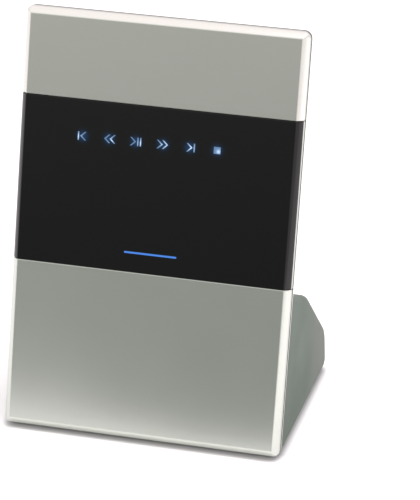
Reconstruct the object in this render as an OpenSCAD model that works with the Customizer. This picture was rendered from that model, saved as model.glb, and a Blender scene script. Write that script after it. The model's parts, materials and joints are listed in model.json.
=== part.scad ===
// Upright media player with a pull-out hard drive tray.
// Millimetres, +Z up, front towards -Y. The origin is the centre of the footprint, on the table.

/* [Fascia] */
// Width of the fascia and of the whole body
panel_w = 181.8; // [178:0.2:230]
// Height of the fascia, measured along its slope
panel_h = 270; // [262:1:320]
// Angle that the fascia leans back from upright
lean = 12.67; // [10:0.01:15]
// How far the bevel comes in from the edge
bevel_in = 4.2; // [3:0.1:5]
// How far the bevel runs back
bevel_depth = 6.8; // [6.4:0.1:9]
// Power of the bevel's curve, 1 being a flat bevel
bevel_curve = 1.8; // [1:0.1:2.4]
// Outer corner radius of the fascia
corner_r = 5; // [3:0.5:8]
// Thickness of the fascia pieces behind their faces
fascia_wall = 2.4; // [1.6:0.1:2.8]
// Thickness of the rim at the back of the fascia pieces
rim_wall = 3.4; // [3:0.1:4]
// Upper edge of the touch window, down from the fascia's top
window_top = 55.1; // [45:0.1:70]
// Height of the touch window
window_h = 106.1; // [90:0.1:112]
// Gap between neighbouring fascia pieces
seam = 0.24; // [0.1:0.02:0.5]
// Distance of the fascia bosses from the body's sides
boss_in = 27.4; // [27:0.1:30]
// Distance of the fascia bosses from the ends of their piece
boss_end = 20; // [18:0.5:22]
// Radius of the fascia bosses
boss_r = 3; // [2.5:0.1:4]

/* [Touch symbols] */
// Height of the row of symbols below the window's upper edge
symbol_drop = 23.3; // [18:0.1:40]
// Spacing of the symbols
symbol_pitch = 17.35; // [14:0.05:20]
// Shift of the row's centre from the middle of the fascia
symbol_shift = -5; // [-10:0.5:10]
// Height of a symbol
symbol_h = 5.4; // [4:0.1:8]
// Width of a symbol's strokes
symbol_stroke = 0.8; // [0.5:0.1:1.2]
// Depth of the inlaid symbols
symbol_depth = 0.4; // [0.2:0.1:0.8]
// Length of the status light bar
status_w = 34; // [20:1:60]
// Height of the status light bar
status_h = 1.2; // [0.8:0.1:2.5]
// Distance of the status light bar above the window's lower edge
status_up = 12.4; // [8:0.1:20]

/* [Frame] */
// Shadow gap between the fascia's rim and the frame
shadow_gap = 1; // [0.6:0.1:1.6]
// Depth of the frame behind the shadow gap
frame_depth = 3; // [2.4:0.1:5]
// Width of the frame's side members
frame_side = 19.6; // [19.5:0.1:21]
// Width of the frame's top and bottom members
frame_end = 12; // [10:0.5:16]
// Thickness of the chassis plate
chassis_t = 1; // [0.8:0.1:1]
// Thickness of the land that centres the fascia
land_t = 2.6; // [2:0.1:3]
// Clearance of pieces that drop into one another
fit_gap = 0.3; // [0.15:0.05:0.5]

/* [Foot] */
// How far the foot's underside lies below the fascia's lower front corner
foot_drop = 2.3; // [2:0.1:3]
// Height at which the foot meets the frame
shoulder_h = 100.8; // [98:0.1:106]
// Slope of the foot's shoulder
shoulder_slope = 23.4; // [20:0.1:26]
// Distance of the knee's centre behind the fascia's lower front corner
knee_y = 68.7; // [64:0.1:76]
// Height of the knee's centre
knee_z = 57.8; // [54:0.1:60]
// Radius of the knee
knee_r = 25.1; // [22:0.1:27]
// Distance of the nose's centre behind the fascia's lower front corner
nose_y = 121.8; // [121:0.1:130]
// Height of the nose's centre
nose_z = 19.3; // [19:0.1:21]
// Radius of the nose
nose_r = 20.2; // [20:0.1:21]
// Distance of the heel's centre behind the fascia's lower front corner
heel_y = 136.7; // [136:0.1:140]
// Radius of the heel, under the nose
heel_r = 7.7; // [6:0.1:9]
// Softened radius of the foot's side edges
edge_r = 5; // [3:0.25:6]
// Wall of the foot shell and the rear cover
shell_wall = 2.4; // [2:0.1:2.8]
// Width of the flange round the foot's open underside
flange_w = 6.6; // [6:0.1:7]
// Thickness of the base plate's rim
base_rim_t = 1.2; // [1:0.1:1.4]
// Radius of the rubber pads
pad_r = 7; // [5:0.5:8]
// How far the rubber pads stand proud
pad_proud = 0.8; // [0.6:0.1:1.4]
// How deep the rubber pads sit in the base plate
pad_seat = 0.8; // [0.5:0.1:1]

/* [Hard drive] */
// Length of the drive
drive_l = 147; // [146:0.1:147]
// Width of the drive
drive_w = 101.6; // [100:0.1:101.6]
// Height of the drive
drive_h = 26.1; // [20:0.1:26.1]
// Thickness of the drive's lid
drive_lid_t = 1; // [0.8:0.1:1.5]
// Depth of the hollow for the drive's circuit board
drive_board_hollow = 3; // [2.4:0.1:4]

/* [Tray] */
// Front edge of the bay's mouth behind the fascia's lower front corner
bay_front = 22.3; // [21.5:0.1:23.5]
// Height of the bay's mouth above the foot's underside
bay_low = 2.9; // [2.8:0.1:3.2]
// Corner radius of the bay's mouth
mouth_r = 4; // [3:0.1:5]
// Thickness of the tray's sheet
tray_t = 1.5; // [1.2:0.1:1.6]
// Height of the tray's side walls
tray_side_h = 12; // [10:0.5:16]
// Clearance between the tray and what guides it
tray_gap = 0.5; // [0.3:0.05:0.6]
// Clearance between the drive and the tray's walls
drive_gap = 0.3; // [0.2:0.05:0.4]
// Thickness of the tray door
door_t = 8.5; // [8:0.1:9]
// Gap round the tray door
door_gap = 0.4; // [0.25:0.05:0.5]
// Room between the tray's front wall and the drive for screw heads
head_room = 2; // [1.8:0.1:3]
// Thickness of the guide rails
rail_t = 1.5; // [1:0.1:1.6]

/* [Pull handle] */
// Length of the pull handle from its pin to its free end
handle_l = 70; // [60:1:76]
// Height of the pull handle
handle_h = 13; // [10:0.5:15]
// Thickness of the pull handle
handle_t = 5; // [4:0.1:5.4]
// Radius of the handle's pin
handle_pin_r = 1; // [0.8:0.1:1.5]
// Running clearance round moving pins
pin_gap = 0.05; // [0.03:0.01:0.08]
// Clearance round the handle in its pocket
handle_gap = 0.5; // [0.4:0.05:0.8]
// Length of the finger hollow at the handle's free end
finger_l = 15; // [12:0.5:18]
// Distance of the handle's pin in front of the door's rear edge
handle_pin_in = 12; // [10:0.5:16]

/* [Rear cover] */
// Distance of the rear cover in from the body's edge
cover_in = 6; // [5.5:0.1:7]
// Lower edge of the rear cover, measured up along the fascia
cover_low = 110; // [108:0.5:114]
// Depth of the rear cover behind the frame
cover_depth = 18.7; // [18:0.1:24]
// Taper of the rear cover's sides
cover_taper = 2; // [1.5:0.5:2]
// Softened radius of the rear cover's edges
cover_edge_r = 4; // [3:0.5:4]
// Width of a vent slot
slot_w = 2.2; // [1.6:0.1:2.6]
// Spacing of the vent slots
slot_pitch = 5.6; // [4.6:0.1:7]
// Length of an upper vent slot
slot_l = 24; // [16:1:30]

/* [Connectors] */
// Height of the connector row's middle, measured up along the fascia
row_y = 134; // [133:0.5:138]
// Width of the connector opening in the rear cover
opening_w = 146; // [144:1:152]
// Height of the connector opening in the rear cover
opening_h = 27; // [26.5:0.5:30]
// Thickness of the connector plate
plate_t = 0.8; // [0.6:0.1:1]
// Outer radius of a phono jack's barrel
jack_r = 4.15; // [4:0.05:4.3]
// Radius of a phono jack's coloured insert
jack_insert_r = 5; // [4.8:0.1:5.2]
// Length of a phono jack's barrel beyond its insert
jack_l = 8.2; // [7:0.1:9]
// Spacing of the phono jacks
jack_pitch = 13; // [12:0.1:13.4]
// Angle between the power rocker's two positions
rocker_swing = 16; // [12:1:18]
// Travel of the reset button
reset_travel = 0.8; // [0.5:0.1:1]

/* [Boards] */
// Thickness of the circuit boards
board_t = 1.6; // [1.2:0.1:1.6]
// Height of the standoffs under the main board
standoff_h = 6; // [5:0.1:6.4]
// Radius of the standoffs
standoff_r = 2.6; // [2.2:0.1:2.8]
// Gap between the standoffs and the frame's side members
standoff_gap = 0.2; // [0.1:0.1:0.6]
// Distance of the main board's screws from its edges
board_screw_inset = 4.5; // [4:0.1:5]
// Room between the main board and the frame's top member
main_top_room = 14; // [12:1:24]
// Distance of the connector row above the main board's lower edge
row_in = 14; // [13.5:0.1:15]
// Width of the touch board
touch_w = 118; // [100:1:124]
// Height of the touch board
touch_h = 22; // [18:1:30]
// Number of heat sink fins
fin_count = 9; // [5:1:11]
// Thickness of a heat sink fin
fin_t = 0.9; // [0.8:0.1:1.2]
// Side of the heat sink
sink_w = 38; // [30:1:40]

/* [Fan] */
// Side of the fan's frame
fan_w = 40; // [36:0.5:40]
// Thickness of the fan
fan_t = 10; // [8:0.5:10]
// Number of fan blades
blade_count = 7; // [5:1:9]
// Thickness of a fan blade
blade_t = 0.9; // [0.7:0.1:1.2]
// Angle of the fan blades
blade_angle = 42; // [30:1:48]
// Radius of the fan's shaft
fan_shaft_r = 1; // [0.8:0.1:1.2]

/* [Screws] */
// Radius of the screw shanks
screw_r = 1.4; // [1.2:0.1:1.5]
// Radius of the screw heads
head_r = 2.6; // [2.4:0.1:2.8]
// Height of the screw heads
head_h = 1.5; // [1.2:0.1:1.6]
// Height of the flush heads let into the tray's floor
screw_seat = 0.8; // [0.6:0.1:1]

/* [Hidden] */
$fn = 48;

// Depths behind the fascia's face
land_front = 4;
frame_front = bevel_depth + shadow_gap;
frame_back = frame_front + frame_depth;
chassis_back = frame_front;
chassis_front = chassis_back - chassis_t;
main_front = chassis_back + standoff_h;
main_back = main_front + board_t;
cover_back = frame_back + cover_depth;
plate_back = cover_back - shell_wall;
plate_front = plate_back - plate_t;

// Heights along the fascia
window_high = panel_h - window_top;
window_low = window_high - window_h;
crossbar_low = 96;
crossbar_high = cover_low + shell_wall + 1;

// Where the foot stands
foot_w = panel_w;
edge_z = foot_drop + pad_proud;
foot_back_y = max(nose_y + nose_r, heel_y + heel_r);
foot_front_y = bevel_in * sin(lean);
edge_y = -(foot_back_y + foot_front_y) / 2;

// The foot's back slope touches the knee's circle and the nose's circle
slope_run = norm([nose_y - knee_y, knee_z - nose_z]);
slope = atan2(knee_z - nose_z, nose_y - knee_y) + asin((knee_r - nose_r) / slope_run);
slope_mid = ([knee_y, knee_z] + [nose_y, nose_z] + (knee_r + nose_r) * [sin(slope), cos(slope)]) / 2;

// The bay, the tray and the drive; x is along the tray's travel
bay_w = drive_w + 2 * (drive_gap + tray_t + tray_gap);
bay_back = bay_front + bay_w;
tray_low = bay_low + tray_gap;
drive_low = tray_low + tray_t;
mouth_high = drive_low + drive_h + tray_gap;
side_x = foot_w / 2;
tray_x = -side_x + door_t;
drive_x = tray_x + tray_t + head_room;
drive_end_x = drive_x + drive_l;
drive_y = bay_front + tray_gap + tray_t + drive_gap;
tray_end_x = drive_end_x - 8;
drive_board_l = 90;
drive_board_in = 9;
drive_board_side = 7;
drive_board_room = 1;

// The guide rails stand on the base plate
base_top = shell_wall;
rail_x0 = tray_x + tray_t + 0.4;
rail_x1 = drive_end_x - 4;
rail_shelf_t = tray_low - base_top - tray_gap;

// The drive's plug, the socket that enters it, and the board that carries the socket
plug_w = 42;
plug_y = drive_y + drive_w - 10 - plug_w / 2;
plug_z = drive_low + 5.2;
socket_reach = 5;
backplane_x = drive_end_x + 5;
backplane_y = [plug_y - 28, plug_y + 24];
backplane_h = 38;

// The handle's pin, seen from above
handle_pin_x = -side_x + handle_t / 2;
handle_pin_y = bay_back - door_gap - handle_pin_in;
handle_z = (tray_low + mouth_high) / 2;

// Boards, and what holds them
main_w = panel_w - 2 * (frame_side + standoff_gap + standoff_r - board_screw_inset);
main_low = row_y - row_in;
main_h = panel_h - frame_end - main_top_room - main_low;
sink_y = main_low + 78;
chip_h = 2.2;
touch_y = window_high - symbol_drop;
guide_t = 1.4;
light_h = 0.6;
touch_front = fascia_wall + guide_t + light_h;
ribbon_w = 14;
ribbon_gap = 2;
ribbon_x = -30;
ribbon_y = touch_y - touch_h / 2 + 5;
cable_w = 8;
cable_t = 0.8;
cable_off = 0.2;
cable_side = 0.9;
cable_x = panel_w / 2 - boss_in - head_r - cable_side - cable_w / 2;

cover_boss_r = 3.4;
cover_screw_up = 52;
cover_screw_side = 16.4;

// Screw places on the fascia's plane: [x, y]
foot_screw_points = [for (x = [-1, 1], y = [50, 86]) [x * (panel_w / 2 - 10), y]];
cover_screw_points = [for (x = [-1, 1], y = [cover_low + cover_screw_up, panel_h - cover_in - 12])
    [x * (panel_w / 2 - cover_screw_side), y]];
standoff_points = [for (x = [-1, 1], y = [0, 1])
    [x * (main_w / 2 - board_screw_inset),
     main_low + board_screw_inset + y * (main_h - 2 * board_screw_inset)]];

// The fan sits against the inside of the back slope
fan_up = 3;
fan_back = -shell_wall - 0.1;
fan_bore_r = fan_w / 2 - 1.4;
fan_hub_r = 8;
fan_hole_in = 4;
fan_hole = fan_w / 2 - fan_hole_in;

function height_to_y(z) = let (up = z - foot_drop)
    (up + frame_back * sin(lean)) / cos(lean) * sin(lean) + frame_back * cos(lean);

// ---- places ----

// Drawn on the leaning fascia: x right, y up along it, z out of its face
module on_fascia() {
    translate([0, edge_y, edge_z]) rotate([90 - lean, 0, 0]) children();
}

// A flat outline between two depths behind the fascia's face
module layer(from, to) {
    translate([0, 0, -to]) linear_extrude(to - from) children();
}

// Drawn on the back of the player: z grows towards the rear from the given depth
module on_rear(x, y, depth) {
    on_fascia() translate([x, y, -depth]) mirror([0, 0, 1]) children();
}

// y runs back from the fascia's lower front corner, z up from the foot's underside
module in_foot() {
    translate([0, edge_y, pad_proud]) children();
}

// A side view (y, z) as a bar across the body
module across(width) {
    rotate([90, 0, 90]) linear_extrude(width, center = true) children();
}

// Drawn on the foot's back slope: y down the slope, z out of it
module on_slope() {
    in_foot() translate([0, slope_mid[0], slope_mid[1]]) rotate([-slope, 0, 0]) children();
}

// ---- shapes used more than once ----

module rounded(w, h, r) {
    square([w - 2 * r, h], center = true);
    square([w, h - 2 * r], center = true);
    for (x = [-1, 1], y = [-1, 1])
        translate([x * (w / 2 - r), y * (h / 2 - r)]) circle(r);
}

module box(w, d, h) {
    translate([-w / 2, -d / 2, 0]) cube([w, d, h]);
}

// A pan-head screw: its head's top at z = 0, its shank down to -length
module screw(length) {
    difference() {
        union() {
            translate([0, 0, -head_h]) cylinder(h = head_h, r = head_r);
            translate([0, 0, -length]) cylinder(h = length, r = screw_r);
        }
        for (turn = [0, 90]) rotate([0, 0, turn]) translate([0, 0, -0.8]) box(head_r * 1.2, 0.6, 1);
    }
}

// ---- fascia ----

// The whole fascia in one: crisp front edge, curved bevel, round corners at the back
module bevelled_slab() {
    steps = 8;
    on_fascia() translate([0, panel_h / 2, 0]) hull() for (i = [0:steps]) {
        share = i / steps;
        inset = bevel_in * pow(1 - share, bevel_curve);
        translate([0, 0, -bevel_depth * share - (i == steps ? 0 : 0.01)]) linear_extrude(0.01)
            rounded(panel_w - 2 * inset, panel_h - 2 * inset, 0.02 + corner_r * share);
    }
}

function boss_points(low, high) =
    [for (x = [-1, 1], y = [low + boss_end, high - boss_end]) [x * (panel_w / 2 - boss_in), y]];

module fascia_hollow(low, high, width) {
    translate([-width / 2, low]) square([width, high - low]);
}

module fascia_piece(low, high) {
    rib = 1.6;
    difference() {
        union() {
            difference() {
                intersection() {
                    bevelled_slab();
                    on_fascia() layer(-1, bevel_depth + 1)
                        translate([-panel_w, low]) square([2 * panel_w, high - low]);
                }
                on_fascia() layer(fascia_wall, bevel_depth + 1)
                    fascia_hollow(max(low + rib, rim_wall), min(high - rib, panel_h - rim_wall),
                        panel_w - 2 * rim_wall);
                // room for the frame's land, which runs on past the ribs at the seams
                on_fascia() layer(land_front - fit_gap, bevel_depth + 1) difference() {
                    fascia_hollow(max(low - 1, rim_wall), min(high + 1, panel_h - rim_wall),
                        panel_w - 2 * rim_wall);
                    fascia_hollow(low - 2, high + 2, panel_w - 2 * (rim_wall + land_t + 2 * fit_gap));
                }
            }
            on_fascia() layer(fascia_wall - 0.2, chassis_front)
                for (p = boss_points(low, high)) translate(p) circle(boss_r);
        }
        on_fascia() layer(fascia_wall + 0.6, bevel_depth + 1)
            for (p = boss_points(low, high)) translate(p) circle(screw_r);
    }
}

module upper_panel() {
    color("#a9aaa5") fascia_piece(window_high + seam / 2, panel_h);
}

module touch_window() {
    color("#1d1d1d") difference() {
        fascia_piece(window_low + seam / 2, window_high - seam / 2);
        on_fascia() layer(-1, symbol_depth) symbols_outline();
        on_fascia() layer(-1, symbol_depth) status_outline();
    }
}

module lower_panel() {
    color("#96999a") fascia_piece(0, window_low - seam / 2);
}

// One arm pair of an arrow that points right, its tip at x = 0
module arrow() {
    for (side = [-1, 1]) polygon([[0, 0], [-symbol_h * 0.55, side * symbol_h / 2],
        [-symbol_h * 0.55 - symbol_stroke * 1.2, side * symbol_h / 2], [-symbol_stroke * 1.4, 0]]);
}

module upright(x) {
    translate([x - symbol_stroke / 2, -symbol_h / 2]) square([symbol_stroke, symbol_h]);
}

// A pair of strokes kept apart by one and a half stroke widths
module skip_symbol() {
    translate([symbol_h * 0.3, 0]) arrow();
    upright(symbol_h * 0.3 + symbol_stroke * 1.4);
}

module wind_symbol() {
    translate([-symbol_h * 0.02, 0]) arrow();
    translate([symbol_h * 0.62, 0]) arrow();
}

module play_pause_symbol() {
    translate([0, 0]) arrow();
    upright(symbol_stroke * 1.4);
    upright(symbol_stroke * 3.6);
}

module symbols_outline() {
    translate([symbol_shift, window_high - symbol_drop]) {
        translate([-2.5 * symbol_pitch, 0]) mirror([1, 0]) skip_symbol();
        translate([-1.5 * symbol_pitch, 0]) mirror([1, 0]) wind_symbol();
        translate([-0.5 * symbol_pitch, 0]) play_pause_symbol();
        translate([0.5 * symbol_pitch, 0]) wind_symbol();
        translate([1.5 * symbol_pitch, 0]) skip_symbol();
        translate([2.5 * symbol_pitch, 0]) square(symbol_h * 0.8, center = true);
    }
}

module status_outline() {
    translate([0, window_low + status_up]) rounded(status_w, status_h, status_h / 2 - 0.01);
}

module touch_symbols() {
    color("#9cc4ff") on_fascia() layer(0, symbol_depth) symbols_outline();
}

module status_light() {
    color("#3f7fe0") on_fascia() layer(0, symbol_depth) status_outline();
}

// ---- frame and chassis ----

module frame_windows() {
    upper = panel_h - frame_end - crossbar_high;
    translate([-panel_w / 2 + frame_side, crossbar_high]) square([panel_w - 2 * frame_side, upper]);
    translate([-panel_w / 2 + frame_side, frame_end])
        square([panel_w - 2 * frame_side, crossbar_low - frame_end]);
}

module bezel_frame() {
    land_in = rim_wall + fit_gap;
    color("#c3c4bf") on_fascia() difference() {
        union() {
            layer(frame_front, frame_back) difference() {
                translate([0, panel_h / 2]) rounded(panel_w, panel_h, corner_r);
                frame_windows();
            }
            layer(land_front, frame_front) translate([0, panel_h / 2]) difference() {
                square([panel_w - 2 * land_in, panel_h - 2 * land_in], center = true);
                square([panel_w - 2 * (land_in + land_t), panel_h - 2 * (land_in + land_t)],
                    center = true);
            }
        }
        layer(frame_front - 1, frame_back + 1)
            for (p = concat(foot_screw_points, cover_screw_points)) translate(p) circle(screw_r);
        // groove that lets the drive cable pass the crossbar
        layer(frame_front - 0.1, frame_front + cable_off + cable_t + fit_gap)
            translate([cable_x - cable_w / 2 - fit_gap, crossbar_low - 1])
                square([cable_w + 2 * fit_gap, crossbar_high - crossbar_low + 2]);
    }
}

module chassis_plate() {
    inset = rim_wall + fit_gap + land_t + fit_gap;
    rib = 20;
    side_strip = 13.3;
    end_strip = 16;
    relief = [panel_w / 2 - frame_side - rib / 2 - side_strip, crossbar_low - frame_end - 2 * end_strip];
    color("#b8bcc0") on_fascia() layer(chassis_front, chassis_back) difference() {
        translate([0, panel_h / 2]) square([panel_w - 2 * inset, panel_h - 2 * inset], center = true);
        for (p = panel_screw_points) translate(p) circle(screw_r);
        for (p = concat(foot_screw_points, cover_screw_points)) translate(p) circle(head_r + 0.6);
        // slot for the ribbon cable, and windows that save weight
        translate([ribbon_x, ribbon_y]) square([ribbon_w + 3, ribbon_gap + 4], center = true);
        for (x = [-1, 1]) translate([x * (rib + relief[0]) / 2, (frame_end + crossbar_low) / 2])
            rounded(relief[0], relief[1], 6);
    }
}

panel_screw_points = concat(boss_points(window_high + seam / 2, panel_h),
    boss_points(window_low + seam / 2, window_high - seam / 2),
    boss_points(0, window_low - seam / 2));

module panel_screws() {
    color("#8d9093") for (p = panel_screw_points)
        on_rear(p[0], p[1], chassis_back + head_h) screw(head_h + chassis_t + 2.6);
}

module foot_screws() {
    color("#8d9093") for (p = foot_screw_points)
        on_fascia() translate([p[0], p[1], -frame_front + head_h]) screw(head_h + frame_depth + 7);
}

// ---- touch board behind the window ----

symbol_xs = [for (i = [-2.5:1:2.5]) symbol_shift + i * symbol_pitch];

module light_guide() {
    color("#e8eef6") on_fascia() layer(fascia_wall, fascia_wall + guide_t)
        translate([symbol_shift, touch_y]) rounded(symbol_pitch * 6, symbol_h * 2, 2);
}

module symbol_lights() {
    color("#f4f4e8") on_fascia() layer(fascia_wall + guide_t, touch_front)
        for (x = symbol_xs) translate([x, touch_y]) square([2, 1.25], center = true);
}

module infrared_receiver() {
    color("#2a2430") on_fascia() translate([52, touch_y - 7, 0]) {
        layer(fascia_wall + 0.3, touch_front) square([7, 5.6], center = true);
        translate([0, 0, -fascia_wall - 0.9]) sphere(r = 0.6);
    }
}

module touch_board() {
    color("#1f5a3a") on_fascia() layer(touch_front, touch_front + board_t) difference() {
        translate([0, touch_y]) square([touch_w, touch_h], center = true);
        for (x = [-1, 1]) translate([x * (touch_w / 2 - 4), touch_y]) circle(screw_r);
    }
}

module ribbon_cable() {
    start = touch_front + board_t;
    color("#d8dbe0") on_fascia() layer(start, main_front)
        translate([ribbon_x, ribbon_y]) square([ribbon_w, 0.4], center = true);
}

// ---- main board ----

module board_standoffs() {
    color("#c9a64a") for (p = standoff_points) on_rear(p[0], p[1], chassis_back) difference() {
        cylinder(h = standoff_h, r = standoff_r);
        translate([0, 0, standoff_h - 4]) cylinder(h = 5, r = screw_r);
    }
}

module board_screws() {
    color("#b9bcc0") for (p = standoff_points)
        on_rear(p[0], p[1], main_back + head_h) screw(head_h + board_t + 3.5);
}

module main_board() {
    color("#1f5a3a") on_fascia() layer(main_front, main_back) difference() {
        translate([-main_w / 2, main_low]) square([main_w, main_h]);
        for (p = standoff_points) translate(p) circle(screw_r);
        for (p = cover_screw_points) translate(p) circle(cover_boss_r + fit_gap);
    }
}

module main_processor() {
    color("#2b2b2d") on_rear(0, sink_y, main_back) box(31, 31, chip_h);
}

module heat_sink() {
    base_t = 2;
    fin_h = plate_front - main_back - chip_h - base_t - 1.5;
    pitch = (sink_w - fin_t) / (fin_count - 1);
    color("#30343a") on_rear(0, sink_y, main_back + chip_h) {
        box(sink_w, sink_w, base_t);
        for (i = [0:fin_count - 1]) translate([-sink_w / 2 + i * pitch, -sink_w / 2, base_t])
            cube([fin_t, sink_w, fin_h]);
    }
}

module memory_chips() {
    color("#232326") for (x = [-1, 1], y = [-9, 9])
        on_rear(x * (sink_w / 2 + 15), sink_y + y, main_back) box(11, 13, 1.2);
}

module board_capacitors() {
    color("#3a3f52") for (x = [-1, 1], side = [15, 24], y = [-14, 2])
        on_rear(x * (main_w / 2 - side), sink_y + y, main_back) cylinder(h = 8, r = 3.15);
}

// ---- rear cover ----

cover_w = panel_w - 2 * cover_in;
cover_h = panel_h - cover_in - cover_low;
cover_y = cover_low + cover_h / 2;
cover_corner = 7;

// Outer form of the rear cover, drawn in by `inset` all round and at the back
module cover_form(inset) {
    straight = cover_depth - cover_edge_r;
    on_rear(0, cover_y, frame_back) hull() {
        linear_extrude(0.01)
            rounded(cover_w - 2 * inset, cover_h - 2 * inset, cover_corner - inset);
        for (a = [0:22.5:90]) {
            side = inset + cover_taper + (cover_edge_r - inset) * (1 - cos(a));
            translate([0, 0, straight + (cover_edge_r - inset) * sin(a) - 0.01]) linear_extrude(0.01)
                rounded(cover_w - 2 * side, cover_h - 2 * side, max(1, cover_corner - inset));
        }
    }
}

module slot_row(y, length) {
    count = floor((cover_w / 2 - cover_taper - cover_edge_r - 8) / slot_pitch);
    for (i = [-count:count]) translate([i * slot_pitch, y]) rounded(slot_w, length, slot_w / 2 - 0.01);
}

module rear_cover() {
    color("#8f9592") difference() {
        union() {
            difference() {
                cover_form(0);
                cover_form(shell_wall);
            }
            for (p = cover_screw_points) on_rear(p[0], p[1], frame_back)
                cylinder(h = cover_depth - head_h, r = cover_boss_r);
        }
        on_fascia() layer(plate_back - 1, cover_back + 1) {
            slot_row(panel_h - cover_in - 26, slot_l);
            slot_row(panel_h - cover_in - 26 - slot_l - 5, slot_l);
            translate([0, row_y]) rounded(opening_w, opening_h, 2.5);
        }
        for (p = cover_screw_points) on_rear(p[0], p[1], frame_back) {
            translate([0, 0, -1]) cylinder(h = cover_depth + 2, r = screw_r);
            translate([0, 0, cover_depth - head_h - 0.6]) cylinder(h = head_h + 2, r = head_r + 0.2);
        }
    }
}

module cover_screws() {
    color("#8d9093") for (p = cover_screw_points)
        on_rear(p[0], p[1], cover_back - 0.6) screw(cover_depth - 0.6 + frame_depth - 0.5);
}

// ---- connectors on the back, given by their x along the row ----

rocker_x = 59.4;
inlet_x = 44.5;
network_x = 28.5;
usb_x = 9.5;
hdmi_x = -8;
reset_x = -19.4;
jack_x = -28.6;
network_size = [16, 14];
network_port = [11.8, 8.2];
usb_size = [14.6, 16];
usb_port = [12.6, 5.2];
hdmi_size = [15.6, 6.6];
hdmi_port = [14.2, 4.8];
inlet_size = [9.4, 11];
inlet_bore_r = 3.2;
inlet_pin_r = 1;
switch_size = [11.6, 19];
rocker_size = [8.6, 14];
reset_r = 1.9;
socket_wall = 1.2;
part_gap = 0.15;

// Where each phono jack is: place in the row, level (1 upper, -1 lower)
jack_slots = [[0, 1], [1, 1], [2, 1], [3, 1], [0, -1], [1, -1], [2, -1]];
function jack_at(slot) = [jack_x - slot[0] * jack_pitch, row_y + slot[1] * jack_pitch / 2];

module hole_for(size) {
    square([size[0] + 2 * part_gap, size[1] + 2 * part_gap], center = true);
}

module connector_plate() {
    margin = 3;
    color("#c9cbcc") on_fascia() layer(plate_front, plate_back) difference() {
        translate([0, row_y]) square([opening_w + 2 * margin, opening_h + 2 * margin], center = true);
        translate([rocker_x, row_y]) hole_for(switch_size);
        translate([inlet_x, row_y]) hole_for(inlet_size);
        translate([network_x, row_y]) hole_for(network_size);
        translate([usb_x, row_y]) hole_for(usb_size);
        translate([hdmi_x, row_y]) hole_for(hdmi_size);
        translate([reset_x, row_y]) circle(reset_r + pin_gap);
        for (s = jack_slots) translate(jack_at(s)) circle(jack_insert_r + part_gap);
    }
}

socket_h = plate_back + 1 - main_back;

// A board-mounted socket with its mouth towards the rear
module socket(x, size, port, depth) {
    on_rear(x, row_y, main_back) difference() {
        box(size[0], size[1], socket_h);
        for (y = len(port) > 2 ? [-port[2] / 2, port[2] / 2] : [0])
            translate([0, y, socket_h - depth]) box(port[0], port[1], depth + 1);
    }
}

module network_socket() {
    color("#b9bcbe") difference() {
        socket(network_x, network_size, network_port, 10);
        on_rear(network_x, row_y - network_port[1] / 2 - 1.2, main_back + socket_h - 10)
            box(6, 2.6, 11);
    }
}

module usb_sockets() {
    tongue_l = 8;
    color("#b9bcbe") {
        socket(usb_x, usb_size, [usb_port[0], usb_port[1], 7.6], 9.5);
        for (y = [-3.8, 3.8]) on_rear(usb_x, row_y + y + 1.2, main_back + socket_h - 9.5)
            box(11.6, 1.8, tongue_l);
    }
}

module hdmi_socket() {
    color("#b9bcbe") {
        socket(hdmi_x, hdmi_size, hdmi_port, 8);
        on_rear(hdmi_x, row_y, main_back + socket_h - 8) box(11.5, 1, 6.5);
    }
}

module dc_inlet() {
    color("#202022") on_rear(inlet_x, row_y, main_back) {
        difference() {
            box(inlet_size[0], inlet_size[1], socket_h);
            translate([0, 0, socket_h - 9]) cylinder(h = 10, r = inlet_bore_r);
        }
        translate([0, 0, socket_h - 9]) cylinder(h = 8, r = inlet_pin_r);
    }
}

module jack_block() {
    low = jack_at([2, 0])[0] - jack_pitch / 2;
    color("#1c1c1e") difference() {
        on_fascia() layer(main_back, plate_front - part_gap) {
            translate([low, row_y - jack_pitch]) square([3 * jack_pitch, 2 * jack_pitch]);
            translate([low - jack_pitch, row_y]) square([jack_pitch, jack_pitch]);
        }
        for (s = jack_slots) on_rear(jack_at(s)[0], jack_at(s)[1], plate_front - 6)
            cylinder(h = 7, r = jack_insert_r - 1.6);
    }
}

// One coloured insert: a ring round the barrel's root and a tube inside the barrel
module jack_insert(slots) {
    foot = plate_front - part_gap;
    rise = plate_back + 1.4 - foot;
    for (s = slots) on_rear(jack_at(s)[0], jack_at(s)[1], foot) difference() {
        union() {
            cylinder(h = rise, r = jack_insert_r);
            cylinder(h = rise + jack_l - 0.6, r = jack_r - 0.5);
        }
        translate([0, 0, -1]) cylinder(h = rise + jack_l + 2, r = 1.7);
    }
}

module jack_insert_green() { color("#2f9a45") jack_insert([[0, 1]]); }
module jack_insert_blue() { color("#2d55b8") jack_insert([[1, 1]]); }
module jack_insert_red() { color("#b5262a") jack_insert([[2, 1], [2, -1]]); }
module jack_insert_orange() { color("#d9772a") jack_insert([[3, 1]]); }
module jack_insert_yellow() { color("#d8b92c") jack_insert([[0, -1]]); }
module jack_insert_white() { color("#dcdcd8") jack_insert([[1, -1]]); }

module jack_barrels() {
    color("#c7c9c9") for (s = jack_slots)
        on_rear(jack_at(s)[0], jack_at(s)[1], plate_back + 1.4) difference() {
            cylinder(h = jack_l, r = jack_r);
            translate([0, 0, -1]) cylinder(h = jack_l + 2, r = jack_r - 0.5);
        }
}

// Power switch: the rocker turns on two short pins, its axis across the player
rocker_depth = plate_back - 1.2;

module switch_body() {
    color("#1a1a1c") on_rear(rocker_x, row_y, main_back) difference() {
        box(switch_size[0], switch_size[1], socket_h + 0.6);
        translate([0, 0, socket_h - 8]) box(rocker_size[0] + 0.5, rocker_size[1] + 1.6, 10);
        translate([-switch_size[0], 0, rocker_depth - main_back]) rotate([0, 90, 0])
            cylinder(h = 2 * switch_size[0], r = 1 + pin_gap);
    }
}

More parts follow.
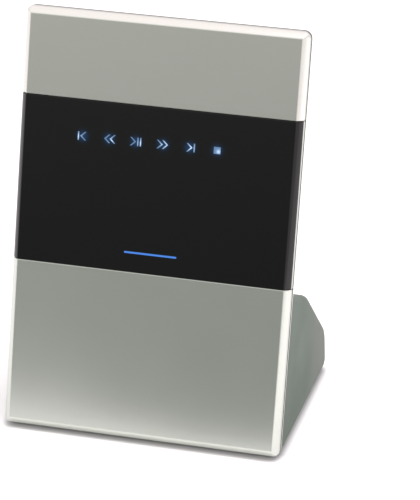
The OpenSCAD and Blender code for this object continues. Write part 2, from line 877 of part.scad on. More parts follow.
module power_rocker() {
    half = rocker_size[1] / 2;
    color("#222226") on_rear(rocker_x, row_y, rocker_depth) rotate([rocker_swing / 2, 0, 0]) {
        rotate([90, 0, 90]) linear_extrude(rocker_size[0], center = true)
            polygon([[-half, 3.2], [-half + 0.6, -1.6], [-3, -3.4], [3, -3.4], [half - 0.6, -1.6],
                [half, 3.2], [0, 2.2]]);
        translate([-switch_size[0] / 2 + 0.3, 0, 0]) rotate([0, 90, 0])
            cylinder(h = switch_size[0] - 0.6, r = 1);
    }
}

// Reset button: a stem behind a pin-hole, over a small sprung switch
collar_h = 1;

module reset_button() {
    reach = plate_back - 0.4;
    color("#d0d0cc") on_rear(reset_x, row_y, plate_front - part_gap - collar_h) {
        cylinder(h = collar_h, r = reset_r + 0.7);
        cylinder(h = reach - plate_front + part_gap + collar_h, r = reset_r);
    }
}

module reset_switch() {
    top = plate_front - part_gap - collar_h - reset_travel - 0.2;
    color("#2c2c30") on_rear(reset_x, row_y, main_back) box(5, 5, top - main_back);
}

// ---- foot ----

// What the foot's side view is stretched over: knee, nose, heel, shoulder and front
module foot_profile(inset) {
    meet = height_to_y(shoulder_h);
    ahead = 16;
    intersection() {
        union() {
            translate([knee_y, knee_z]) circle(knee_r - inset);
            translate([nose_y, nose_z]) circle(nose_r - inset);
            translate([heel_y, heel_r]) circle(heel_r - inset);
            translate([meet, shoulder_h]) rotate(-shoulder_slope) translate([-ahead, -inset - 0.01])
                square(0.01);
            translate([-ahead, inset]) square(0.01);
        }
        // the underside is flat
        translate([-panel_h, inset]) square(2 * panel_h);
    }
}

// The foot's outer form, with softened side edges, before it is cut at the frame
module foot_form(inset) {
    radius = edge_r - inset;
    in_foot() hull() for (a = [0:18:90]) {
        across(foot_w - 2 * inset - 2 * radius * (1 - sin(a)))
            foot_profile(inset + radius * (1 - cos(a)));
    }
}

module behind_frame() {
    reach = 2 * panel_h;
    on_fascia() translate([-reach / 2, -reach / 2, -frame_back - reach]) cube(reach);
}

module mouth_outline(inset) {
    translate([(bay_front + bay_back) / 2, (bay_low + mouth_high) / 2])
        rounded(bay_w - 2 * inset, mouth_high - bay_low - 2 * inset, mouth_r - inset);
}

// Opening in the foot's underside, drawn in by `inset` from the flat rim that surrounds it
module underside(inset, low, high) {
    in_foot() translate([0, (under_front + under_back) / 2, low]) linear_extrude(high - low)
        rounded(foot_w - 2 * (under_rim + inset), under_back - under_front - 2 * inset, 3);
}

under_rim = edge_r + 0.4;
under_front = height_to_y(0) + 1.2;
under_back = heel_y - 0.4;
base_screw_points = [for (x = [-1, 0, 1], y = [under_front + 3.2, under_back - 3.2])
    [x * (side_x - under_rim - 3.2), y]];

module fan_slots() {
    for (i = [-4:4]) translate([0, i * 4 - fan_up])
        rounded(2 * sqrt(pow(fan_bore_r - 1, 2) - pow(i * 4, 2)), 2, 0.98);
}

module side_slots() {
    for (x = [-1, 1], i = [0:6]) translate([x * (fan_w / 2 + 9 + i * 5), -fan_up])
        rounded(2, 22, 0.98);
}

module foot_shell() {
    color("#7f8a81") difference() {
        union() {
            difference() {
                foot_form(0);
                foot_form(shell_wall);
            }
            for (p = base_screw_points)
                in_foot() translate([p[0], p[1], base_rim_t]) cylinder(h = 7, r = 2.4);
            for (p = foot_screw_points) on_rear(p[0], p[1], frame_back) {
                cylinder(h = 9, r = 3.2);
                translate([sign(p[0]) * 4, 0, 0]) box(8.4, 2.4, 9);
            }
        }
        difference() {
            in_foot() translate([0, 0, -panel_h]) box(4 * foot_w, 8 * panel_h, 4 * panel_h);
            behind_frame();
        }
        underside(0, -1, base_rim_t);
        difference() {
            underside(flange_w, -1, shell_wall + 0.5);
            for (p = base_screw_points) in_foot() translate([p[0], p[1], 0]) cylinder(h = 7, r = 2.4);
        }
        in_foot() translate([-side_x, 0, 0]) across(2 * door_t) mouth_outline(0);
        for (p = base_screw_points)
            in_foot() translate([p[0], p[1], 0]) cylinder(h = 7, r = screw_r);
        for (p = foot_screw_points) on_rear(p[0], p[1], frame_back - 1) cylinder(h = 8.5, r = screw_r);
        on_slope() translate([0, 0, -shell_wall - 1]) linear_extrude(shell_wall + 2) {
            fan_slots();
            side_slots();
        }
        for (p = fan_points) on_slope() translate([p[0], p[1] - fan_up, -shell_wall - 1])
            cylinder(h = shell_wall + 2, r = screw_r);
    }
}

pad_points = [for (x = [-1, 1], y = [under_front + 12.25, under_back - 14.3]) [x * (side_x - 19), y]];

module base_plate() {
    color("#3b3e40") difference() {
        union() {
            underside(fit_gap, 0, base_rim_t);
            underside(flange_w + fit_gap, 0, base_top);
        }
        for (p = pad_points) in_foot() translate([p[0], p[1], -1]) cylinder(h = 1 + pad_seat, r = pad_r);
        for (p = base_screw_points) in_foot() translate([p[0], p[1], -1]) {
            cylinder(h = 5, r = screw_r);
            cylinder(h = 1.6, r = head_r + 0.2);
        }
        for (x = [-1, 1], i = [-4:4]) in_foot() translate([x * 30, 73 + i * 7, -1])
            linear_extrude(5) rounded(44, 2.4, 1.18);
    }
}

// Low-headed screws for the thin rim of the base plate, heads downwards
module base_screws() {
    color("#8d9093") for (p = base_screw_points) in_foot() translate([p[0], p[1], 0.1]) {
        cylinder(h = 0.5, r = head_r);
        cylinder(h = 6.5, r = screw_r);
    }
}

module rubber_pads() {
    color("#1b1b1b") for (p = pad_points) in_foot() translate([p[0], p[1], -pad_proud]) {
        cylinder(h = 0.5, r1 = pad_r - 0.5, r2 = pad_r);
        translate([0, 0, 0.5]) cylinder(h = pad_proud + pad_seat - 0.5, r = pad_r);
    }
}

// ---- bay ----

// One guide rail: a channel that holds the tray's side wall, here at y = 0
module rail_outline() {
    lip = tray_gap + tray_t - 0.2;
    high = tray_low + tray_side_h + tray_gap;
    translate([-rail_t, base_top]) square([rail_t, high - base_top + 1.2]);
    translate([-0.1, high]) square([lip + 0.1, 1.2]);
    translate([-0.1, base_top]) square([2.6, rail_shelf_t]);
}

module guide_rails() {
    long = rail_x1 - rail_x0;
    color("#a7abae") in_foot() translate([(rail_x0 + rail_x1) / 2, 0, 0]) {
        translate([0, bay_front, 0]) across(long) rail_outline();
        translate([0, bay_back, 0]) across(long) mirror([1, 0]) rail_outline();
    }
}

module backplane_board() {
    color("#1f5a3a") in_foot() {
        translate([backplane_x, backplane_y[0], base_top])
            cube([board_t, backplane_y[1] - backplane_y[0], backplane_h]);
    }
}

module drive_socket() {
    color("#202024") in_foot() {
        translate([drive_end_x + 0.6, plug_y - plug_w / 2, plug_z - 3.4])
            cube([backplane_x - drive_end_x - 0.6, plug_w, 6.8]);
        translate([drive_end_x - socket_reach, plug_y - plug_w / 2 + 2, plug_z - 1.1])
            cube([socket_reach + 0.7, plug_w - 4, 2.2]);
    }
}

// A point of the foot's side view that lies `depth` behind the fascia, y up along it
function side_point(y, depth) =
    [y * sin(lean) + depth * cos(lean), y * cos(lean) - depth * sin(lean) + foot_drop];

module strip(from, to) {
    run = to - from;
    translate(from) rotate(atan2(run[1], run[0])) translate([-cable_t / 2, -cable_t / 2])
        square([norm(run) + cable_t, cable_t]);
}

// Flat cable from the backplane, over the drive and up along the chassis to the main board
module drive_cable() {
    depth = frame_front + cable_off + cable_t / 2;
    plug = [plug_y - 6, base_top + backplane_h - 6];
    route = [plug, [62, 58], side_point(88, depth), side_point(main_low + 1, depth),
        side_point(main_low + 1, main_front - cable_t / 2)];
    color("#c8ccd2") in_foot() {
        translate([cable_x, 0, 0]) across(cable_w)
            for (i = [0:len(route) - 2]) strip(route[i], route[i + 1]);
        translate([cable_x - cable_w / 2, plug[0] - 5, plug[1] - 2.5])
            cube([backplane_x - cable_x + cable_w / 2, 10, 5]);
    }
}

// ---- fan ----

fan_points = [for (x = [-1, 1], y = [-1, 1]) [x * fan_hole, y * fan_hole]];

module fan_frame() {
    color("#262628") on_slope() translate([0, -fan_up, fan_back - fan_t]) difference() {
        union() {
            difference() {
                linear_extrude(fan_t) rounded(fan_w, fan_w, 3);
                translate([0, 0, -1]) cylinder(h = fan_t + 2, r = fan_bore_r);
            }
            cylinder(h = 1.6, r = fan_hub_r);
            for (a = [30, 150, 270]) rotate([0, 0, a]) translate([fan_hub_r - 1, -1, 0])
                cube([fan_bore_r - fan_hub_r + 1.6, 2, 1.6]);
            cylinder(h = 4, r = 2.6);
        }
        translate([0, 0, -1]) cylinder(h = 6, r = fan_shaft_r + pin_gap);
        for (p = fan_points) translate([p[0], p[1], -1]) cylinder(h = fan_t + 2, r = screw_r);
    }
}

module fan_rotor() {
    low = 2;
    high = fan_t - 0.8;
    tip_r = fan_bore_r - 0.7;
    color("#2e2e31") on_slope() translate([0, -fan_up, fan_back - fan_t]) {
        difference() {
            translate([0, 0, low]) cylinder(h = high - low, r = fan_hub_r);
            translate([0, 0, low - 1]) cylinder(h = high - low, r = fan_hub_r - 1);
        }
        translate([0, 0, 0.4]) cylinder(h = high - 0.9, r = fan_shaft_r);
        for (i = [0:blade_count - 1]) rotate([0, 0, i * 360 / blade_count]) intersection() {
            difference() {
                translate([0, 0, low + 0.3]) cylinder(h = high - low - 0.6, r = tip_r);
                translate([0, 0, low - 1]) cylinder(h = high - low + 2, r = fan_hub_r - 0.4);
            }
            translate([tip_r / 2, 0, (low + high) / 2]) rotate([blade_angle, 0, 0])
                cube([tip_r, 3 * fan_t, blade_t], center = true);
            translate([0, -tip_r / 2, 0]) cube([tip_r, tip_r, fan_t]);
        }
    }
}

module fan_screws() {
    color("#8d9093") for (p = fan_points)
        on_slope() translate([p[0], p[1] - fan_up, head_h]) screw(head_h + shell_wall + 6);
}

// ---- tray ----

tray_w = bay_w - 2 * tray_gap;
tray_y = bay_front + tray_gap;
drive_holes = [for (x = [41.3, 85.7], y = [-1, 1]) [drive_end_x - x, drive_y + drive_w / 2 + y * 47.6]];

module drive_tray() {
    long = tray_end_x - tray_x;
    floor_strip = 19.6;
    color("#b4b8bb") in_foot() difference() {
        intersection() {
            union() {
                translate([tray_x, tray_y, tray_low]) cube([long, tray_w, tray_t]);
                for (y = [tray_y, tray_y + tray_w - tray_t])
                    translate([tray_x, y, tray_low]) cube([long, tray_t, tray_side_h]);
                translate([tray_x, tray_y, tray_low]) cube([tray_t, tray_w, 18]);
            }
            across(2 * panel_w) mouth_outline(tray_gap);
        }
        for (p = drive_holes) translate([p[0], p[1], tray_low - 1]) {
            cylinder(h = 5, r = screw_r);
            cylinder(h = 1 + screw_seat, r = head_r);
        }
        for (i = [0:3]) translate([tray_x + 22 + i * 30, drive_y + drive_w / 2, tray_low - 1])
            linear_extrude(5) rounded(18, tray_w - 2 * floor_strip, 4);
        for (p = door_screw_points)
            translate([tray_x - 1, p[0], p[1]]) rotate([0, 90, 0]) cylinder(h = 5, r = screw_r);
    }
}

door_screw_points = [for (y = [16, bay_w - 16]) [bay_front + y, tray_low + 13]];

module door_screws() {
    color("#8d9093") in_foot() for (p = door_screw_points)
        translate([tray_x + tray_t + head_h, p[0], p[1]]) rotate([0, 90, 0]) screw(head_h + tray_t + 2);
}

handle_slot_t = handle_t + 0.8;

// Pocket in the door: the handle's bed, its barrel end and the finger hollow
module handle_pocket() {
    reach = handle_l + finger_l;
    high = handle_h + 2 * handle_gap;
    translate([-side_x - 1, handle_pin_y - reach, handle_z - high / 2])
        cube([1 + handle_slot_t, reach + handle_t / 2 + handle_gap, high]);
}

module tray_door() {
    color("#7f8a81") difference() {
        intersection() {
            foot_form(0);
            in_foot() translate([-side_x + door_t / 2 - 0.5, 0, 0]) across(door_t + 1)
                mouth_outline(door_gap);
        }
        in_foot() {
            handle_pocket();
            translate([handle_pin_x, handle_pin_y, handle_z - handle_h / 2 - 4])
                cylinder(h = handle_h + 8, r = handle_pin_r);
            for (p = door_screw_points) translate([tray_x - 2, p[0], p[1]]) rotate([0, 90, 0])
                cylinder(h = 3, r = screw_r);
        }
    }
}

module handle_pin() {
    color("#b9bcbe") in_foot() translate([handle_pin_x, handle_pin_y, handle_z - handle_h / 2 - 4])
        cylinder(h = handle_h + 8, r = handle_pin_r);
}

module tray_handle() {
    half = handle_t / 2;
    color("#8d958f") in_foot() translate([handle_pin_x, handle_pin_y, handle_z - handle_h / 2])
        difference() {
            linear_extrude(handle_h) {
                circle(half);
                translate([-half, -handle_l]) square([handle_t, handle_l]);
            }
            translate([0, 0, -1]) cylinder(h = handle_h + 2, r = handle_pin_r + pin_gap);
            translate([half, -handle_l - 1, -1]) rotate([0, 0, 18]) cube([handle_t, 16, handle_h + 2]);
        }
}

// ---- hard drive ----

module drive_housing() {
    step = 2.2;
    color("#9a9da0") in_foot() difference() {
        union() {
            translate([drive_x, drive_y, drive_low]) cube([drive_l, drive_w, 17]);
            translate([drive_x + step, drive_y + step, drive_low])
                cube([drive_l - 2 * step, drive_w - 2 * step, drive_h - drive_lid_t]);
        }
        translate([drive_end_x - drive_board_in - drive_board_l - drive_board_room,
            drive_y + drive_board_side - drive_board_room, drive_low - 1])
            cube([drive_board_l + 2 * drive_board_room,
                drive_w - 2 * (drive_board_side - drive_board_room), 1 + drive_board_hollow]);
        translate([drive_end_x - 10, plug_y - plug_w / 2 - 1, plug_z - 3.2])
            cube([11, plug_w + 2, 6.4]);
        for (p = drive_holes) translate([p[0], p[1], drive_low - 1]) cylinder(h = 5, r = screw_r);
    }
}

module drive_lid() {
    color("#c6c8c9") in_foot() translate([drive_x + drive_l / 2, drive_y + drive_w / 2, 0]) {
        difference() {
            translate([0, 0, drive_low + drive_h - drive_lid_t]) linear_extrude(drive_lid_t)
                rounded(drive_l - 9, drive_w - 7, 7);
            translate([26, 0, drive_low + drive_h - 0.4]) cylinder(h = 1, r = 40);
        }
        translate([26, 0, drive_low + drive_h - drive_lid_t]) cylinder(h = drive_lid_t, r = 12);
    }
}

module drive_board() {
    color("#1f5a3a") in_foot() translate([drive_end_x - drive_board_in - drive_board_l,
        drive_y + drive_board_side, drive_low + 0.2])
        cube([drive_board_l, drive_w - 2 * drive_board_side, board_t]);
}

// Low-headed screws, heads downwards, let into the tray's floor
module drive_screws() {
    color("#8d9093") in_foot() for (p = drive_holes) translate([p[0], p[1], tray_low]) {
        cylinder(h = screw_seat, r = head_r);
        cylinder(h = tray_t + 3, r = screw_r);
    }
}

upper_panel();
touch_window();
lower_panel();
touch_symbols();
status_light();
bezel_frame();
chassis_plate();
panel_screws();
foot_screws();
light_guide();
touch_board();
symbol_lights();
infrared_receiver();
ribbon_cable();
main_board();
board_standoffs();
board_screws();
main_processor();
heat_sink();
memory_chips();
board_capacitors();
rear_cover();
cover_screws();
connector_plate();
dc_inlet();
network_socket();
usb_sockets();
hdmi_socket();
jack_block();
jack_barrels();
jack_insert_green();
jack_insert_blue();
jack_insert_red();
jack_insert_orange();
jack_insert_yellow();
jack_insert_white();
switch_body();
power_rocker();
reset_switch();
reset_button();
foot_shell();
base_plate();
base_screws();
rubber_pads();
guide_rails();
backplane_board();
drive_socket();
drive_cable();
fan_frame();
fan_rotor();
fan_screws();
drive_tray();
tray_door();
door_screws();
tray_handle();
handle_pin();
drive_housing();
drive_lid();
drive_board();
drive_screws();
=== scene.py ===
import json
import math

import bmesh
import bpy
from mathutils import Matrix, Vector


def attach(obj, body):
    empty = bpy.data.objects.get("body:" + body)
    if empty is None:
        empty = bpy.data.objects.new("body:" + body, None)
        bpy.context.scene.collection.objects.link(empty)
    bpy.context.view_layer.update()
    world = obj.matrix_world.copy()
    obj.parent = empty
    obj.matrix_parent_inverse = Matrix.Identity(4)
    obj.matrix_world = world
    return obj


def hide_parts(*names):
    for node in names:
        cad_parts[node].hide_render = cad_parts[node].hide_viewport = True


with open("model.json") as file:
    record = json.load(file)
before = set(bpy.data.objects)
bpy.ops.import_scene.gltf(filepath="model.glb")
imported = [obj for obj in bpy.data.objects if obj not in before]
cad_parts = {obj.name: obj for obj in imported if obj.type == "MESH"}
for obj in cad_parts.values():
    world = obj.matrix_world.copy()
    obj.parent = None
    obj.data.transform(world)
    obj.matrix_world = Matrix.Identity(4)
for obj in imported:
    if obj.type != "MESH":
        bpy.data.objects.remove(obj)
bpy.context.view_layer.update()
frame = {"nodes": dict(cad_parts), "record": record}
nodes = frame["nodes"]
mm = 0.001
bodies = frame["record"]["behaviour"]["bodies"]
bodyOf = {node: body for body, members in bodies.items() for node in members}
print("frame loaded:", len(nodes), "nodes")

slab = {  # the leaning fascia, in millimetres and degrees
    "width": 181.8,
    "height": 270.0,
    "lean": 12.67,
    "edgeY": -72.6606,  # where its lower front edge is in the frame
    "edgeZ": 3.1,
    "bevelIn": 4.2,
    "bevelDepth": 6.8,
    "bevelCurve": 1.8,
    "cornerRadius": 5.0,
    "wall": 2.4,
    "rim": 3.4,
    "windowLow": 108.8,
    "windowHigh": 214.9,
    "seam": 0.24,
}
leanSin = math.sin(math.radians(slab["lean"]))
leanCos = math.cos(math.radians(slab["lean"]))
rearward = Vector((0, leanCos, -leanSin))  # straight out of the fascia's back
upFace = Vector((0, leanSin, leanCos))  # up along the fascia
socketRowUp = 134.0  # mm up the fascia, where the middle of the rear sockets is


def onFascia(x, up, depth):  # millimetres on the leaning face to metres in the frame
    return Vector((
        x,
        slab["edgeY"] + up * leanSin + depth * leanCos,
        slab["edgeZ"] + up * leanCos - depth * leanSin,
    )) * mm


def onRear(x, up, depth):  # a frame whose Z looks to the rear, Y up along the fascia
    turn = Matrix(((-1, 0, 0), upFace, rearward)).transposed()
    return Matrix.Translation(onFascia(x, up, depth)) @ turn.to_4x4()


def depthBehindFace(point):  # in millimetres
    return (point - onFascia(0, 0, 0)).dot(rearward) / mm


def linear(hexColour):  # sRGB hex to the linear colour that shaders take
    parts = [int(hexColour[i:i + 2], 16) / 255 for i in (1, 3, 5)]
    return [p / 12.92 if p <= 0.04045 else ((p + 0.055) / 1.055) ** 2.4 for p in parts] + [1.0]


def setInputs(tree, node, inputs):  # by name or in the node's own order; a socket is linked, a value is set
    for key, value in inputs.items() if isinstance(inputs, dict) else enumerate(inputs):
        if isinstance(value, bpy.types.NodeSocket):
            tree.links.new(value, node.inputs[key])
        else:
            node.inputs[key].default_value = value


def addNode(tree, kind, inputs=(), output=None, **settings):  # gives the output asked for, or the node
    node = tree.nodes.new(kind)
    for key, value in settings.items():
        setattr(node, key, value)
    setInputs(tree, node, inputs)
    return node if output is None else node.outputs[output]


def shaderOf(material):
    tree = material.node_tree
    return tree, tree.nodes["Principled BSDF"]


texture = {
    "cloud": 38.0,  # mm, the size of the patches that are a little smoother or rougher
    "noise": (0.3, 0.7),  # where most of a noise's values lie
    "coatRoughness": 0.1,
}


# grain and depth are the pitch of the surface's texture and how deep it is, in mm. Lacquer flakes, spark
# texture and drawing marks are finer than a pixel, so they are drawn as coarse as they need to show.
def finish(name, colour, roughness, metallic=0.0, grain=0.3, depth=0.01, tint=0.06, stretch=(1, 1, 1),
           wear=0.04, coat=0.0, ior=1.5, specular=0.5, emission=None, glow=0.0):
    material = bpy.data.materials.new(name)
    material.use_nodes = True
    tree, shader = shaderOf(material)
    place = addNode(tree, "ShaderNodeTexCoord", output="Object")
    fine = addNode(tree, "ShaderNodeMapping", {
        "Vector": place, "Scale": [s / (grain * mm) for s in stretch]}, "Vector")
    speck = addNode(tree, "ShaderNodeTexNoise", {
        "Vector": fine, "Scale": 1.0, "Detail": 3.0, "Roughness": 0.6}, "Fac")
    cloud = addNode(tree, "ShaderNodeTexNoise", {
        "Vector": place, "Scale": 1 / (texture["cloud"] * mm), "Detail": 2.0}, "Fac")
    base = linear(colour)[:3]
    share = addNode(tree, "ShaderNodeMapRange", (speck, *texture["noise"], 0.0, 1.0), "Result")
    setInputs(tree, shader, {
        "Base Color": addNode(tree, "ShaderNodeMix", {
            "Factor": share,
            "A": [c * (1 - tint) for c in base] + [1.0],
            "B": [min(1.0, c * (1 + tint)) for c in base] + [1.0],
        }, "Result", data_type="RGBA"),
        "Roughness": addNode(tree, "ShaderNodeMapRange", (
            cloud, *texture["noise"], roughness - wear, roughness + wear), "Result"),
        "Normal": addNode(tree, "ShaderNodeBump", {
            "Height": speck, "Distance": depth * mm, "Strength": 1.0}, "Normal"),
        "Metallic": metallic,
        "IOR": ior,
        "Specular IOR Level": specular,
        "Coat Weight": coat,
        "Coat Roughness": texture["coatRoughness"],
    })
    if emission:
        setInputs(tree, shader, {"Emission Color": linear(emission), "Emission Strength": glow})
    return material


insertColours = {"green": "#2f9a45", "blue": "#2d55b8", "red": "#b5262a", "orange": "#d9772a",
                 "yellow": "#d8b92c", "white": "#dcdcd8"}
finishes = {  # named for what the real surface is
    # fine aluminium flakes in a satin lacquer: a bright, slightly soft mirror of the room
    "upperSatinSilver": finish("satin silver lacquer, upper", "#eeeee7", 0.25, metallic=0.95, grain=0.25,
                               depth=0.002, tint=0.03, wear=0.008),
    # the lower copy of the same lacquer is painted darker and greener than the upper: painted shade
    "lowerSatinSilverShaded": finish("satin silver lacquer, lower", "#dde1d9", 0.24, metallic=0.95, grain=0.25,
                               depth=0.002, tint=0.03, wear=0.008),
    # polished cast acrylic: deep black with sharp reflections
    "glossAcrylic": finish("gloss black acrylic", "#060606", 0.06, grain=1.4, depth=0.0004, tint=0.2,
                           wear=0.02, ior=1.49),
    # frosted light guides seen through the window: a pale glow, strongest beside its lamp
    "litSymbol": finish("lit pale blue light guide", "#20304c", 0.4, grain=0.2, depth=0.001,
                        emission="#b8d4ff", glow=1.0, specular=0.3),
    "litBar": finish("lit blue light guide", "#16284c", 0.4, grain=0.2, depth=0.001,
                     emission="#4a8cf0", glow=0.85),
    # silver lacquer sprayed on moulded ABS: duller than the fascia, with the mould's faint unevenness
    "frameLacquer": finish("light silver lacquer on ABS", "#cccec8", 0.35, metallic=0.9, grain=0.3,
                           depth=0.003, tint=0.03),
    # the foot's colour turns lighter and warmer towards the rear in paintFootSheen: a painted sheen
    "footLacquerAndSheen": finish("grey-green silver lacquer on ABS", "#5d6b60", 0.45, grain=0.3,
                          depth=0.004, tint=0.04, specular=0.1),
    "coverLacquer": finish("silver lacquer on ABS, rear", "#88918a", 0.44, metallic=0.15, grain=0.3,
                           depth=0.005, tint=0.04),
    # electroplated zinc: bluish grey metal with a cloudy spangle
    "zincSheet": finish("zinc-plated steel sheet", "#b6babd", 0.34, metallic=1.0, grain=3.2, depth=0.002,
                        tint=0.05, wear=0.1),
    # barrel-plated: smooth, with small scuffs from tumbling
    "platedScrew": finish("plated steel", "#a4a8aa", 0.28, metallic=1.0, grain=0.4, depth=0.004, tint=0.08),
    # ground to let light through evenly: milky, with a soft sheen
    "clearGuide": finish("frosted acrylic light guide", "#e6ebf2", 0.3, grain=0.5, depth=0.003, tint=0.02),
    # screen-printed mask over woven glass: mottled green under a thin gloss
    "solderMask": finish("green solder mask on glass fibre", "#1d5a3b", 0.38, grain=0.6, depth=0.006,
                         tint=0.18, coat=0.3),
    # fired ceramic is chalky; cast epoxy is smooth and a little glossy, so its dome catches a highlight
    "whitePackage": finish("white ceramic package", "#f2f1e6", 0.5, grain=0.2, depth=0.002, tint=0.03),
    "violetEpoxy": finish("dark violet epoxy", "#2b2433", 0.15, grain=0.6, depth=0.001, tint=0.1),
    # laminated film: its conductors show as fine streaks along the cable
    "filmCable": finish("white polyester film cable", "#d9dce0", 0.32, grain=1.0, depth=0.004, tint=0.08,
                        stretch=(1, 0.02, 0.02)),
    # turned on a lathe: a warm metal with fine tool marks
    "turnedBrass": finish("turned brass", "#c9a75a", 0.25, metallic=1.0, grain=0.25, depth=0.003,
                          stretch=(1, 1, 4)),
    # moulded with a mineral filler: matt dark grey
    "mouldedEpoxy": finish("black moulded epoxy", "#2b2b2d", 0.55, grain=0.2, depth=0.004),
    # an extrusion, dyed black: satin, with faint drawing lines
    "blackAnodised": finish("black anodised aluminium", "#2f3338", 0.42, metallic=0.8, grain=0.4,
                            depth=0.004, stretch=(0.1, 1, 1)),
    # shrunk film: a soft highlight down each can
    "canSleeve": finish("dark shrink sleeve", "#3a4052", 0.3, grain=0.8, depth=0.003),
    # brushed, then nickel-plated: bright streaks across the plate
    "platedPlate": finish("nickel-plated sheet", "#c6c8c8", 0.3, metallic=1.0, grain=0.35, depth=0.003,
                          tint=0.05, stretch=(0.05, 1, 1)),
    # a lightly textured mould: no clear reflection, only a grey sheen
    "mouldedBlack": finish("black moulded ABS", "#1d1d1f", 0.45, grain=0.35, depth=0.008, tint=0.12),
    # rolled and tinned, and bright nickel over brass: the shells are soft, the barrels nearly a mirror
    "tinnedShell": finish("tinned steel shell", "#bcbfc1", 0.26, metallic=1.0, grain=0.9, depth=0.003),
    "nickelBarrel": finish("bright nickel plate", "#c9cbcc", 0.14, metallic=1.0, grain=0.9, depth=0.001),
    # plain moulded colours, smooth and slightly glossy
    **{colour + "Insert": finish(colour + " moulded polymer", code, 0.33, grain=0.4, depth=0.003)
       for colour, code in insertColours.items()},
    # a polished mould and a plain one: the rocker shines a little, the button doesn't
    "switchNylon": finish("black nylon, semi-gloss", "#202023", 0.25, grain=0.8, depth=0.003),
    "greyButton": finish("light grey ABS", "#d0d0cc", 0.4, grain=0.3, depth=0.004),
    # a spark-eroded mould and cured rubber both scatter the light: flat dark greys; the charcoal is also
    # painted shade in the frame's step and the foot's parting line
    "charcoalAbsAndShade": finish("charcoal ABS, spark-textured", "#3b3e40", 0.58, grain=0.4, depth=0.02, tint=0.1),
    "padRubber": finish("black rubber", "#1a1a1a", 0.8, grain=0.3, depth=0.02, tint=0.15),
    # sprayed satin: dull enough for the grip to show by its shadows
    "handleLacquer": finish("satin silver lacquer, handle", "#9aa29b", 0.4, metallic=0.3, grain=0.3,
                            depth=0.003, tint=0.04),
    # ground, then polished lengthways: fine bright lines along the pin
    "groundPin": finish("ground steel", "#bfc2c4", 0.2, metallic=1.0, grain=0.2, depth=0.002,
                        stretch=(1, 1, 0.1)),
    # thin gold over nickel: a warm glint inside the sockets
    "goldFlash": finish("gold-plated contact", "#d8b45c", 0.2, metallic=1.0, grain=0.2, depth=0.001),
    # dull fired ceramic between two bright tinned ends
    "chipCeramic": finish("brown chip ceramic", "#5b4a3a", 0.5, grain=0.1, depth=0.002),
    "solderEnd": finish("tinned end", "#c3c6c8", 0.3, metallic=1.0, grain=0.1, depth=0.002),
    # as cast, tumbled: grainy dull grey, beside a lid that is stamped from bright brushed sheet
    "diecast": finish("die-cast aluminium", "#9a9da0", 0.48, metallic=0.9, grain=0.5, depth=0.012, tint=0.07),
    "stampedLid": finish("bright stamped stainless steel", "#c9cacb", 0.26, metallic=1.0, grain=0.4,
                         depth=0.003, tint=0.04, stretch=(0.04, 1, 1)),
}

footSheen = {"warm": "#6f766d", "from": -0.005, "to": 0.055}  # metres back from the player's middle, over which the foot is painted lighter and warmer: a painted sheen


def paintFootSheen():  # painted sheen: greener beside the fascia, lighter and warmer towards the rear, set by place rather than by the lacquer's angle
    tree, shader = shaderOf(finishes["footLacquerAndSheen"])
    place = addNode(tree, "ShaderNodeTexCoord", output="Object")
    back = addNode(tree, "ShaderNodeSeparateXYZ", {"Vector": place}, "Y")
    share = addNode(tree, "ShaderNodeMapRange", (back, footSheen["from"], footSheen["to"]), "Result",
                    interpolation_type="SMOOTHSTEP")
    plain = shader.inputs["Base Color"].links[0].from_socket
    setInputs(tree, shader, {"Base Color": addNode(tree, "ShaderNodeMix", {
        "Factor": share, "A": plain, "B": linear(footSheen["warm"])}, "Result", data_type="RGBA")})


tracks = {  # sizes in mm; real tracks are finer, and are drawn this wide so that they show
    "runs": ((0, 9.0), (90, 6.0)),  # each layer's direction in degrees, and the length of its runs
    "width": 0.13,
    "pitch": 1.1,
    "field": 11.0,  # patches of the board in which one layer or the other is on top
    "colour": "#3d8a5f",
    "show": 0.7,
}


def drawTraces():  # copper tracks under the green mask: two layers of long bricks, seen as paler lines
    tree, shader = shaderOf(finishes["solderMask"])
    place = addNode(tree, "ShaderNodeTexCoord", output="Object")
    flat = addNode(tree, "ShaderNodeMapping", {
        "Vector": place, "Rotation": (math.radians(slab["lean"] - 90), 0, 0)}, "Vector")
    lines = []
    for turn, length in tracks["runs"]:
        turned = addNode(tree, "ShaderNodeMapping", {
            "Vector": flat, "Rotation": (0, 0, math.radians(turn))}, "Vector")
        lines.append(addNode(tree, "ShaderNodeTexBrick", {
            "Vector": turned, "Scale": 1.0, "Mortar Size": tracks["width"] * mm, "Mortar Smooth": 0.2,
            "Brick Width": length * mm, "Row Height": tracks["pitch"] * mm,
        }, "Fac", offset=0.37, squash=1.6, squash_frequency=3))
    patch = addNode(tree, "ShaderNodeTexNoise", {
        "Vector": flat, "Scale": 1 / (tracks["field"] * mm), "Detail": 0.0}, "Fac")
    layer = addNode(tree, "ShaderNodeMapRange", (patch, 0.49, 0.51, 0.0, 1.0), "Result")
    track = addNode(tree, "ShaderNodeMix", {"Factor": layer, "A": lines[0], "B": lines[1]}, 0)
    mask = shader.inputs["Base Color"].links[0].from_socket
    setInputs(tree, shader, {"Base Color": addNode(tree, "ShaderNodeMix", {
        "Factor": addNode(tree, "ShaderNodeMath", (track, tracks["show"]), 0, operation="MULTIPLY"),
        "A": mask, "B": linear(tracks["colour"])}, "Result", data_type="RGBA")})


symbolRow = {
    "first": -48.375,  # mm, the middle of the first of six symbols
    "pitch": 17.35,
    "up": 191.6,
    "lamps": ((-3.0, -0.4, 2.0), (1.5, -0.9, 1.7), (2.9, -0.7, 1.9),  # each lamp's place from its symbol's
              (0.9, 0.1, 2.5), (0.5, -0.1, 2.3), (0.9, -0.7, 1.3)),   # middle, across and up, and its spread
    "faint": "#8ab2e0",
    "bright": "#c8e2ff",
    "strength": (0.5, 1.1),
    "halo": 0.12,
    "haloSpread": 2.9,
    "haloColour": "#3f9cf5",
}


